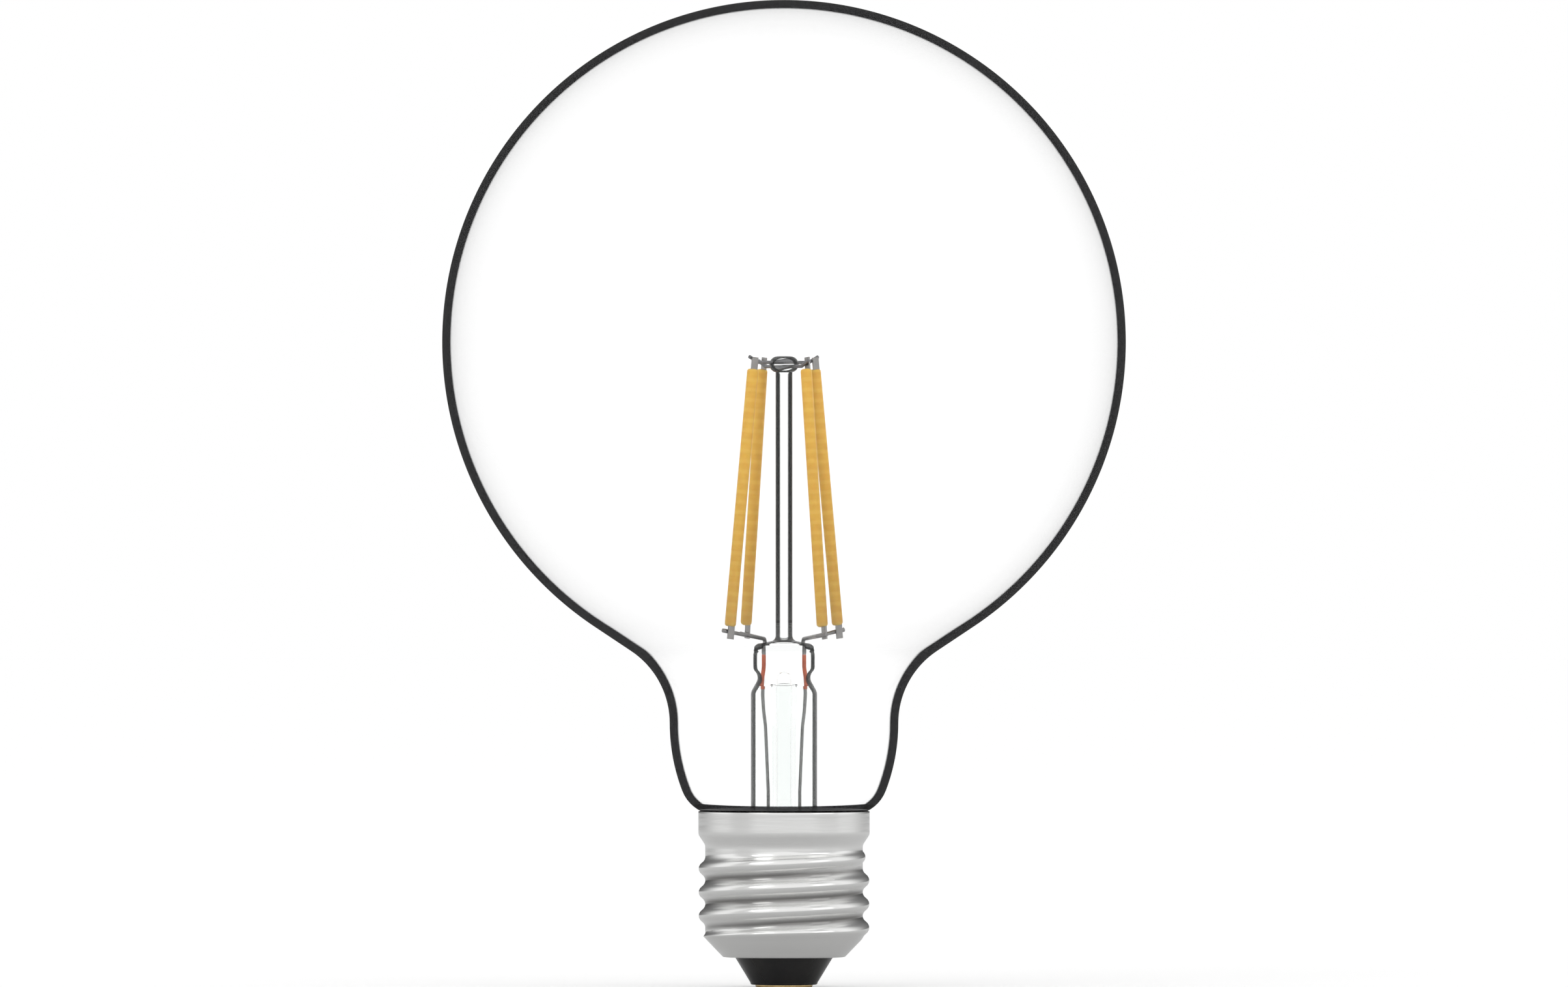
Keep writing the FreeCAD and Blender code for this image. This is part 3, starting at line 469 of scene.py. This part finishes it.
DIES = grained("light dies", (0.25, 0.3, 0.5), (0.15, 0.2, 0.4), (0.1, 0.2), scale=900)
TAB_STEEL = grained("plated tab", (0.30, 0.29, 0.28), (0.23, 0.225, 0.22), (0.25, 0.4), scale=500,
                    stretch=(1, 1, 0.2), relief=0.004, metallic=1.0)
ANCHOR_WIRE = grained("grey anchor wire", (0.19, 0.19, 0.195), (0.13, 0.13, 0.135), (0.3, 0.5), scale=900,
                      relief=0.01, metallic=1.0)
LEAD_WIRE = grained("nickel lead wire", (0.24, 0.235, 0.23), (0.17, 0.165, 0.16), (0.25, 0.42), scale=900,
                    relief=0.01, metallic=1.0)
SEAL_WIRE = grained("red seal wire", (0.55, 0.14, 0.07), (0.42, 0.1, 0.05), (0.3, 0.5), scale=900,
                    relief=0.01, metallic=1.0)
TINNED_WIRE = grained("tinned wire", (0.26, 0.26, 0.257), (0.19, 0.19, 0.187), (0.3, 0.45), scale=900,
                      relief=0.01, metallic=1.0)
BOARD = grained("white board lacquer", (0.8, 0.82, 0.78), (0.72, 0.74, 0.7), (0.25, 0.4), scale=500,
                relief=0.01)
CHIP = grained("moulded chip case", (0.018, 0.018, 0.02), (0.03, 0.03, 0.032), (0.45, 0.65), scale=1200,
               relief=0.02)
RESISTOR = grained("resistor glaze", (0.03, 0.03, 0.035), (0.05, 0.05, 0.055), (0.25, 0.4), scale=1200)
SLEEVE = grained("shrunk sleeve", (0.03, 0.045, 0.09), (0.02, 0.03, 0.065), (0.2, 0.35), scale=600)
FERRITE = grained("ferrite", (0.06, 0.06, 0.062), (0.09, 0.088, 0.085), (0.55, 0.8), scale=900, relief=0.03)
COPPER = grained("enamelled copper", (0.55, 0.2, 0.07), (0.42, 0.14, 0.05), (0.2, 0.35), scale=900,
                 stretch=(0.05, 0.05, 1), relief=0.15, metallic=0.8)


def phosphor_coat():
    """Yellow silicone, a little paler over each light die along the rod."""
    material = grained("phosphor coat", (0.86, 0.50, 0.045), (0.78, 0.41, 0.03), (0.38, 0.55), scale=900,
                       relief=0.03, Subsurface_Weight=0.25, Subsurface_Scale=0.0008)
    tree = material.node_tree
    turns = math_node(tree, "MULTIPLY", FULL_TURN / DIE_PITCH)
    wave = math_node(tree, "COSINE")
    spots = range_node(tree, (-0.2, 0.9), (0.0, 0.28))
    tree.links.new(noted(tree, "along"), turns.inputs[0])
    tree.links.new(turns.outputs["Value"], wave.inputs[0])
    tree.links.new(wave.outputs["Value"], spots.inputs["Value"])
    blend_grain(material, spots.outputs["Result"], (0.95, 0.66, 0.12))
    return material


def cap_metal():
    """Bright rolled metal, with painted shade darkening the bottom of the thread's grooves."""
    material = grained("bright rolled cap", (0.90, 0.90, 0.89), (0.80, 0.80, 0.79), (0.12, 0.26), scale=300,
                       stretch=(0.06, 0.06, 1), relief=0.02, metallic=1.0)
    tree = material.node_tree
    # Painted shade: depth in a groove leads the colour towards dark grey
    groove_shade = range_node(tree, (0.45, 0.95), (0.0, 0.9))
    tree.links.new(noted(tree, "groove"), groove_shade.inputs["Value"])
    blend_grain(material, groove_shade.outputs["Result"], (0.18, 0.176, 0.17))
    return material


PHOSPHOR = phosphor_coat()
CAP_METAL = cap_metal()


# Glass globe


def glass_corners(inset):
    """The glass's half section from its top down to its foot, drawn in by an even inset."""
    across = WAIST_RADIUS + SHOULDER_RADIUS
    both = GLOBE_RADIUS + SHOULDER_RADIUS
    drop = math.sqrt(both ** 2 + SHOULDER_RUN ** 2 - across ** 2)
    middle = WAIST_HEIGHT + drop
    slope = math.atan2(drop, across) - math.atan2(SHOULDER_RUN, both)
    ball, shoulder, bow = GLOBE_RADIUS - inset, SHOULDER_RADIUS + inset, BOW_RADIUS - inset
    bow_end = (WAIST_RADIUS - BOW_RADIUS + bow * math.cos(BOW_ANGLE),
               WAIST_HEIGHT - bow * math.sin(BOW_ANGLE))
    mouth = (MOUTH_RADIUS - MOUTH_SLANT * inset, MOUTH_HEIGHT)
    out, down = mouth[0] - bow_end[0], mouth[1] - bow_end[1]
    lower = (out ** 2 + down ** 2) / (2 * (down * math.sin(BOW_ANGLE) - out * math.cos(BOW_ANGLE)))
    neck = NECK_RADIUS - inset
    return [
        (0, middle + ball, ball, -1),
        (ball, middle, ball, -1),
        (ball * math.cos(slope), middle - ball * math.sin(slope)),
        (across - shoulder * math.cos(slope), WAIST_HEIGHT + shoulder * math.sin(slope), shoulder, 1),
        (WAIST_RADIUS - inset, WAIST_HEIGHT, bow, -1),
        bow_end + (lower, -1),
        mouth,
        (neck, NECK_TOP),
        (neck, NECK_FOOT),
    ]


def make_globe():
    """The blown envelope: one even wall from the open neck to the top."""
    bm = bmesh.new()
    outer, inner = glass_corners(0), glass_corners(GLASS_WALL)
    draw_outline(bm, outer, step=0.8)
    draw_outline(bm, inner, step=1.0)
    draw_outline(bm, [outer[-1], inner[-1]], step=1.0)
    spin_round(bm, sides=176)
    mark_rim(bm, GLOBE_RIM, lambda point: True)
    rim = bm.verts.layers.float["rim"]
    # Painted shade: the glass's dark rim spreads over the band just above the mouth, where it enters the
    # cap
    for vert in bm.verts:
        height = vert.co.z / MM
        if MOUTH_HEIGHT - JUNCTION_SHADE_OVERLAP < height < MOUTH_HEIGHT + JUNCTION_SHADE_HEIGHT and vert[rim] < NO_RIM:
            vert[rim] = 0.0
    piece(bm, "blown_globe", CLEAR_GLASS, "clear_glass", "glass_globe")


make_globe()


# Glass stem: flared tube, press, post and button, with the pumping tube inside


def press_flatness(height):
    """How deep the press is for its width at a height: round at its foot and flat at its top."""
    for low, high in zip(PRESS_SECTIONS, PRESS_SECTIONS[1:]):
        if low[0] < height < high[0]:
            share = (height - low[0]) / (high[0] - low[0])
            before, after = low[2] / low[1], high[2] / high[1]
            return before + (after - before) * share
    return 1.0


def flatten_press(bm):
    """Squeezes the spun press between front and back, and the bore more and more towards its roof.

    The crown gets rounder towards the post, and the fillet above it leads to the post's full round.
    """
    fillet = POST_RADIUS + POST_FILLET
    crown_edge = press_flatness(PRESS_TOP - TRACE)
    pump, bore = PUMP_RADIUS + HAIR, STEM_RADIUS - STEM_WALL + HAIR
    for vert in bm.verts:
        height = vert.co.z / MM
        radius = math.hypot(vert.co.x, vert.co.y) / MM
        over = height - PRESS_TOP - CROWN_RISE
        if TAPER_FOOT < height <= ROOF_HEIGHT + TRACE and pump < radius < bore:
            share = (height - TAPER_FOOT) / (ROOF_HEIGHT - TAPER_FOOT)
            vert.co.y *= 1 + (ROOF_DEPTH / ROOF_WIDTH - 1) * share
        elif TRACE < over < POST_FILLET:
            vert.co.y *= 1 - (1 - CROWN_DEPTH) * (1 - over / POST_FILLET) ** 2
        elif PRESS_TOP - TRACE <= height <= PRESS_TOP + CROWN_RISE + TRACE:
            share = max(0, (radius - fillet) / (CROWN_WIDTH - fillet))
            vert.co.y *= CROWN_DEPTH + (crown_edge - CROWN_DEPTH) * share
        elif radius > fillet:
            vert.co.y *= press_flatness(height)


def mark_shoulders(bm):
    """Gives the press's rounded upper corners, beside the post, the same painted dark rim as its sides."""
    rim = bm.verts.layers.float["rim"]
    start = rim_start(STEM_RIM / CROWN_ROUND)
    low, high = (PRESS_TOP - CROWN_ROUND) * MM, (PRESS_TOP + CROWN_RISE + HAIR) * MM
    for vert in bm.verts:
        beside = abs(vert.co.x) > (POST_RADIUS + POST_FILLET) * MM
        faces_up = vert.normal.z > 0.1
        if beside and faces_up and low < vert.co.z < high:
            vert[rim] = min(vert[rim], start)


def has_stem_rim(point):
    """Whether a point of the stem glass can have a dark rim, as all but its foot and pumping tube can."""
    in_pump = math.hypot(point.x, point.y) < (PUMP_RADIUS + HAIR) * MM and point.z < ROOF_HEIGHT * MM
    return point.z > NECK_FOOT * MM and not in_pump


def make_stem():
    """One melted piece of glass: flared tube, press, post, button and sealed pumping tube."""
    bm = bmesh.new()
    flare = FLARE_RIM - STEM_RADIUS
    flare_top = NECK_FOOT + STEM_WALL + flare
    bore = STEM_RADIUS - STEM_WALL
    button_foot = BUTTON_HEIGHT - math.sqrt(BUTTON_ROUND ** 2 - (POST_RADIUS - BUTTON_FLAT) ** 2)
    draw_outline(bm, [
        (0, BUTTON_HEIGHT + BUTTON_ROUND),
        (BUTTON_FLAT, BUTTON_HEIGHT + BUTTON_ROUND, BUTTON_ROUND, -1),
        (BUTTON_FLAT + BUTTON_ROUND, BUTTON_HEIGHT, BUTTON_ROUND, -1),
        (POST_RADIUS, button_foot),
        (POST_RADIUS, PRESS_TOP + CROWN_RISE + POST_FILLET, POST_FILLET, 1),
        (POST_RADIUS + POST_FILLET, PRESS_TOP + CROWN_RISE),
        (CROWN_WIDTH, PRESS_TOP, CROWN_ROUND, -1),
        (PRESS_WIDTH, PRESS_SIDE_TOP),
        (PRESS_WIDTH, PRESS_SIDE_FOOT, PRESS_SIDE_ROUND, -1),
        PINCH_TOP + (PINCH_ROUND, 1),
        PINCH_FOOT,
        TUBE_SHOULDER + (TUBE_ROUND, -1),
        (STEM_RADIUS, TUBE_TOP),
        (STEM_RADIUS, flare_top, flare, 1),
        (FLARE_RIM, NECK_FOOT + STEM_WALL),
        (FLARE_RIM, NECK_FOOT, flare + STEM_WALL, -1),
        (bore, flare_top),
        (bore, TAPER_FOOT),
        (ROOF_WIDTH, ROOF_HEIGHT),
        (PUMP_RADIUS, ROOF_HEIGHT),
        (PUMP_RADIUS, PUMP_TIP + PUMP_RADIUS, PUMP_RADIUS, -1),
        (0, PUMP_TIP),
    ], step=0.35)
    spin_round(bm, sides=72)
    hollow = bmesh.new()
    draw_outline(hollow, [
        (0, PUMP_TIP + PUMP_RADIUS - PUMP_BORE, PUMP_BORE, 1),
        (PUMP_BORE, PUMP_TIP + PUMP_RADIUS),
        (PUMP_BORE, PUMP_PASSAGE - PUMP_BORE, PUMP_BORE, 1),
        (0, PUMP_PASSAGE),
    ], step=0.35)
    spin_round(hollow, sides=48)
    bmesh.ops.reverse_faces(hollow, faces=hollow.faces[:])
    inside = bpy.data.meshes.new("pump_hollow")
    hollow.to_mesh(inside)
    hollow.free()
    bm.from_mesh(inside)
    bpy.data.meshes.remove(inside)
    flatten_press(bm)
    mark_rim(bm, STEM_RIM, has_stem_rim, press_flatness)
    mark_shoulders(bm)
    piece(bm, "glass_stem", STEM_GLASS, "stem_glass", "stem", "pump_tube", "post")


make_stem()


# Screw cap


def thread_rise(off_crest):
    """How far a round thread stands out at a distance along the axis from its crest."""
    crest = THREAD_DEPTH - THREAD_ROUND + math.sqrt(max(THREAD_ROUND ** 2 - off_crest ** 2, 0))
    off_root = THREAD_PITCH / 2 - off_crest
    root = THREAD_ROUND - math.sqrt(max(THREAD_ROUND ** 2 - off_root ** 2, 0))
    if off_crest < THREAD_ARC:
        return crest
    if off_root < THREAD_ARC:
        return root
    share = (off_crest - THREAD_ARC) / (THREAD_PITCH / 2 - 2 * THREAD_ARC)
    return crest + (root - crest) * share


def thread_at(point):
    """How far the sheet is rolled outwards at a point of the plain cap, and how deep in a groove it is."""
    turn = (math.atan2(point.x, -point.y) / FULL_TURN) % 1.0
    rolled = groove = 0.0
    for whole in range(-1, math.ceil(THREAD_TURNS) + 1):
        turns = whole + turn
        off_crest = abs(point.z / MM - THREAD_START - THREAD_PITCH * turns)
        beyond = max(-turns, turns - THREAD_TURNS, 0)
        if off_crest < THREAD_PITCH / 2 and beyond < RUNOUT_TURNS:
            sink = RUNOUT_SINK * THREAD_DEPTH * beyond / RUNOUT_TURNS
            rolled = max(rolled, thread_rise(off_crest) - sink)
        off_groove = abs(point.z / MM - THREAD_START - THREAD_PITCH * (turns + 0.5))
        past = max(-turns, turns - THREAD_TURNS + 1, 0)
        if off_groove < THREAD_PITCH / 2 and past < 1:
            groove = max(groove, (1 - off_groove / (THREAD_PITCH / 2)) * (1 - past))
    return rolled, groove


def make_cap():
    """The shell: one sheet of even thickness, rolled into a round right-hand thread."""
    bm = bmesh.new()
    inner_root = ROOT_RADIUS - CAP_SHEET
    inner_band = BAND_RADIUS - CAP_SHEET
    cone_sheet = CAP_SHEET * math.sqrt(1 + CONE_SLOPE ** 2)
    inner_foot = FLANGE_RADIUS + (CAP_SHEET - cone_sheet) / CONE_SLOPE
    inner_cone = FLANGE_HEIGHT + CONE_SLOPE * (inner_root - FLANGE_RADIUS) + cone_sheet
    draw_outline(bm, with_bends([
        (FOOT_HOLE, FLANGE_HEIGHT + CAP_SHEET),
        (FOOT_HOLE, FLANGE_HEIGHT),
        (FLANGE_RADIUS, FLANGE_HEIGHT, FLANGE_BEND),
        (ROOT_RADIUS, FLANGE_HEIGHT + CONE_SLOPE * (ROOT_RADIUS - FLANGE_RADIUS), CONE_BEND),
        (ROOT_RADIUS, STEP_FOOT, STEP_BEND),
        (BAND_RADIUS, STEP_TOP, STEP_BEND),
        (BAND_RADIUS, BAND_TOP, BAND_BEND),
        (inner_band, BAND_TOP),
        (inner_band, STEP_TOP + CAP_SHEET / 2),
        (inner_root, STEP_FOOT + CAP_SHEET / 2),
        (inner_root, inner_cone),
        (inner_foot, FLANGE_HEIGHT + CAP_SHEET),
        (FOOT_HOLE, FLANGE_HEIGHT + CAP_SHEET),
    ]), step=0.22)
    spin_round(bm, sides=180)
    deep = bm.verts.layers.float.new("groove")
    for vert in bm.verts:
        height = vert.co.z / MM
        radius = math.hypot(vert.co.x, vert.co.y) / MM
        if abs(radius - ROOT_RADIUS) > ROLLED_SHEET or not ROLLED_FROM < height < ROLLED_TO:
            continue
        rolled, groove = thread_at(vert.co)
        # Depth in a groove, above a height, sets the painted shade of the cap's grooves
        vert[deep] = groove if height > GROOVE_SHADE_FROM else 0.0
        cone = FLANGE_RADIUS + (height - FLANGE_HEIGHT) / CONE_SLOPE - (ROOT_RADIUS - radius)
        grown = max(radius, min(radius + rolled, cone))
        vert.co.x *= grown / radius
        vert.co.y *= grown / radius
    piece(bm, "rolled_cap", CAP_METAL, "cap_metal", "cap_shell", sharp=60)


make_cap()


# Light rods


def filament_matrix(index):
    """Where a rod stands: its middle, its lean, and which way its strip faces."""
    angle = math.radians(FILAMENT_ANGLE + 90 * index)
    lean = math.atan2(FILAMENT_FOOT[0] - FILAMENT_TOP[0], FILAMENT_TOP[1] - FILAMENT_FOOT[1])
    reach = (FILAMENT_TOP[0] + FILAMENT_FOOT[0]) / 2
    height = (FILAMENT_TOP[1] + FILAMENT_FOOT[1]) / 2
    middle = Vector((reach * math.cos(angle), reach * math.sin(angle), height))
    face = 0 if index < 2 else math.pi
    turn = Matrix.Rotation(angle, 4, "Z") @ Matrix.Rotation(-lean, 4, "Y") @ Matrix.Rotation(face, 4, "Z")
    return Matrix.Translation(middle * MM) @ turn


def make_coat(index, name):
    """One rod's rounded coat, which knows how far along itself each point lies."""
    bm = bmesh.new()
    length = math.hypot(FILAMENT_FOOT[0] - FILAMENT_TOP[0], FILAMENT_TOP[1] - FILAMENT_FOOT[1])
    half = length / 2 - TAB_BARE
    draw_outline(bm, [
        (0, -half),
        (COAT_RADIUS - COAT_ROUND, -half, COAT_ROUND, 1),
        (COAT_RADIUS, COAT_ROUND - half),
        (COAT_RADIUS, half - COAT_ROUND, COAT_ROUND, 1),
        (COAT_RADIUS - COAT_ROUND, half),
        (0, half),
    ], step=0.25)
    spin_round(bm, sides=40)
    along = bm.verts.layers.float.new("along")
    for vert in bm.verts:
        vert[along] = vert.co.z / MM + DIE_PITCH / 2
    bmesh.ops.transform(bm, matrix=filament_matrix(index), verts=bm.verts[:])
    piece(bm, name + "_phosphor", PHOSPHOR, "phosphor_coat", name + "_coat")


for index, filament in enumerate(FILAMENTS):
    make_coat(index, "filament_" + filament)


# Finishes of the solids that show as they are, by name and by the end of the name

FINISHES = {
    "insulator": VITRITE,
    "centre_contact": CONTACT_BRASS,
    "contact_solder": SOLDER,
    "side_solder": SOLDER,
    "cement_ring": CEMENT,
    "centre_wire": TINNED_WIRE,
    "driver_board": BOARD,
    "driver_chip": CHIP,
    "bridge_rectifier": CHIP,
    "chip_resistors": RESISTOR,
    "smoothing_capacitor": SLEEVE,
    "coil_core": FERRITE,
    "coil_winding": COPPER,
    "anchor_wire_low": ANCHOR_WIRE,
    "anchor_wire_high": ANCHOR_WIRE,
}
ENDINGS = {
    "_strip": STRIP,
    "_dies": DIES,
    "_tab": TAB_STEEL,
    "_lead": LEAD_WIRE,
    "_branch": LEAD_WIRE,
    "_seal_wire": SEAL_WIRE,
    "_tail": TINNED_WIRE,
}

for name, node in nodes.items():
    finish = FINISHES.get(name)
    for ending, candidate in ENDINGS.items():
        if name.endswith(ending):
            finish = candidate
    if finish:
        node.data.materials.clear()
        node.data.materials.append(finish)


# Floor, light and camera. Places and sizes are in metres here, but for the camera's sensor.

# Brightness of plain light, of the floor's matt share, of the ground seen through glass and mirrored
# in glass, and how much of that dimming rough metal sees
PLAIN_LIGHT = 0.85
FLOOR_MATT = 0.68
THROUGH_GLASS = 1.1
IN_GLASS_MIRROR = 0.05
DIM_IN_METAL = 0.15

# Darker places on the studio's wall: how often each pattern comes round, where on its wave it begins,
# and how dark it gets
WALL_PATTERNS = [(1, 0.1, 0.85), (3, 0.3, 0.3)]

FLOOR_WHITE = 0.8
FLOOR_RADIUS = 6.0
FLOOR_DROP = 0.00005
LIT_HEIGHT = 0.08
SENSOR_WIDTH = 36
CAMERA_DISTANCE = 3.0
CAMERA_HEIGHT = 0.07575
SEEN_WIDTH = 0.2408


def ground_material():
    """A white floor that takes the bulb's soft shadow, is dim in glass mirrors and open from below."""
    material = bpy.data.materials.new("white floor")
    material.use_nodes = True
    tree = material.node_tree
    tree.nodes.clear()
    link = tree.links.new
    seen = tree.nodes.new("ShaderNodeLightPath")

    matt = tree.nodes.new("ShaderNodeBsdfDiffuse")
    matt.inputs["Color"].default_value = (FLOOR_WHITE, FLOOR_WHITE, FLOOR_WHITE, 1)
    through = math_node(tree, "MULTIPLY", THROUGH_GLASS - FLOOR_MATT)
    direct = math_node(tree, "MULTIPLY_ADD", 1.0 - FLOOR_MATT)
    glow = tree.nodes.new("ShaderNodeEmission")
    lit = tree.nodes.new("ShaderNodeAddShader")
    link(seen.outputs["Is Transmission Ray"], through.inputs[0])
    link(seen.outputs["Is Camera Ray"], direct.inputs[0])
    link(through.outputs["Value"], direct.inputs[2])
    link(direct.outputs["Value"], glow.inputs["Strength"])
    link(matt.outputs["BSDF"], lit.inputs[0])
    link(glow.outputs["Emission"], lit.inputs[1])

    in_metal = math_node(tree, "MULTIPLY", DIM_IN_METAL)
    strongest = math_node(tree, "MAXIMUM")
    mirrored = math_node(tree, "MULTIPLY")
    dim = tree.nodes.new("ShaderNodeEmission")
    dim.inputs["Strength"].default_value = IN_GLASS_MIRROR
    top = tree.nodes.new("ShaderNodeMixShader")
    link(seen.outputs["Is Glossy Ray"], in_metal.inputs[0])
    link(in_metal.outputs["Value"], strongest.inputs[0])
    link(seen.outputs["Is Singular Ray"], strongest.inputs[1])
    link(strongest.outputs["Value"], mirrored.inputs[0])
    link(seen.outputs["Is Reflection Ray"], mirrored.inputs[1])
    link(mirrored.outputs["Value"], top.inputs["Fac"])
    link(lit.outputs["Shader"], top.inputs[1])
    link(dim.outputs["Emission"], top.inputs[2])

    side = tree.nodes.new("ShaderNodeNewGeometry")
    clear = tree.nodes.new("ShaderNodeBsdfTransparent")
    both = tree.nodes.new("ShaderNodeMixShader")
    out = tree.nodes.new("ShaderNodeOutputMaterial")
    link(side.outputs["Backfacing"], both.inputs["Fac"])
    link(top.outputs["Shader"], both.inputs[1])
    link(clear.outputs["BSDF"], both.inputs[2])
    link(both.outputs["Shader"], out.inputs["Surface"])
    return material


def make_floor():
    """A wide disc that faces up, just under the bulb's contact."""
    bm = bmesh.new()
    bmesh.ops.create_circle(bm, cap_ends=True, radius=FLOOR_RADIUS, segments=96)
    for face in bm.faces:
        if face.normal.z < 0:
            face.normal_flip()
    bmesh.ops.translate(bm, verts=bm.verts[:], vec=(0, 0, -FLOOR_DROP))
    mesh = bpy.data.meshes.new("floor")
    bm.to_mesh(mesh)
    bm.free()
    mesh.materials.append(ground_material())
    floor = bpy.data.objects.new("floor", mesh)
    bpy.context.scene.collection.objects.link(floor)


def make_world():
    """White to the eye and through glass, dim in glass reflections, and a pale studio in metal.

    The studio's wall is darker behind the bulb and at two more places around it.
    """
    world = bpy.data.worlds.new("studio")
    world.use_nodes = True
    tree = world.node_tree
    tree.nodes.clear()
    link = tree.links.new

    place = tree.nodes.new("ShaderNodeTexCoord")
    split = tree.nodes.new("ShaderNodeSeparateXYZ")
    around = math_node(tree, "ARCTAN2")
    wall = math_node(tree, "MULTIPLY")
    link(place.outputs["Generated"], split.inputs["Vector"])
    link(split.outputs["X"], around.inputs[0])
    link(split.outputs["Y"], around.inputs[1])
    for number, (times, start, depth) in enumerate(WALL_PATTERNS):
        panels = math_node(tree, "MULTIPLY", times)
        swing = math_node(tree, "COSINE")
        gap = range_node(tree, (start, 1.0), (1.0, 1.0 - depth))
        link(around.outputs["Value"], panels.inputs[0])
        link(panels.outputs["Value"], swing.inputs[0])
        link(swing.outputs["Value"], gap.inputs["Value"])
        link(gap.outputs["Result"], wall.inputs[number])

    seen = tree.nodes.new("ShaderNodeLightPath")
    studio = tree.nodes.new("ShaderNodeMix")
    studio.inputs["A"].default_value = PLAIN_LIGHT
    link(seen.outputs["Is Glossy Ray"], studio.inputs["Factor"])
    link(wall.outputs["Value"], studio.inputs["B"])
    level = studio.outputs["Result"]
    for ray, strength in (("Is Singular Ray", IN_GLASS_MIRROR), ("Is Transmission Ray", THROUGH_GLASS),
                          ("Is Camera Ray", 1.0)):
        choose = tree.nodes.new("ShaderNodeMix")
        choose.inputs["B"].default_value = strength
        link(seen.outputs[ray], choose.inputs["Factor"])
        link(level, choose.inputs["A"])
        level = choose.outputs["Result"]

    light = tree.nodes.new("ShaderNodeBackground")
    light.inputs["Color"].default_value = (1, 1, 1, 1)
    out = tree.nodes.new("ShaderNodeOutputWorld")
    link(level, light.inputs["Strength"])
    link(light.outputs["Background"], out.inputs["Surface"])
    bpy.context.scene.world = world


def make_lamp(name, place, size, watts):
    """A square soft light that faces the middle of the bulb."""
    lamp = bpy.data.lights.new(name, "AREA")
    lamp.size = size
    lamp.energy = watts
    holder = bpy.data.objects.new(name, lamp)
    aim = Vector((0, 0, LIT_HEIGHT)) - Vector(place)
    holder.matrix_world = Matrix.Translation(place) @ aim.to_track_quat("-Z", "Y").to_matrix().to_4x4()
    bpy.context.scene.collection.objects.link(holder)


def make_camera():
    """A long lens, level with the bulb's middle, that frames it from its foot to its top."""
    lens = bpy.data.cameras.new("camera")
    lens.type = "PERSP"
    lens.sensor_width = SENSOR_WIDTH
    lens.lens = SENSOR_WIDTH * CAMERA_DISTANCE / SEEN_WIDTH
    lens.clip_end = 20
    camera = bpy.data.objects.new("camera", lens)
    camera.location = (0, -CAMERA_DISTANCE, CAMERA_HEIGHT)
    camera.rotation_euler = (math.pi / 2, 0, 0)
    bpy.context.scene.collection.objects.link(camera)
    bpy.context.scene.camera = camera


make_floor()
make_world()
make_lamp("key", place=(-0.7, -0.9, 0.8), size=0.6, watts=1.5)
make_lamp("fill", place=(0.9, -0.6, 0.4), size=0.6, watts=0.7)
make_camera()
bpy.context.scene.view_settings.view_transform = "Standard"
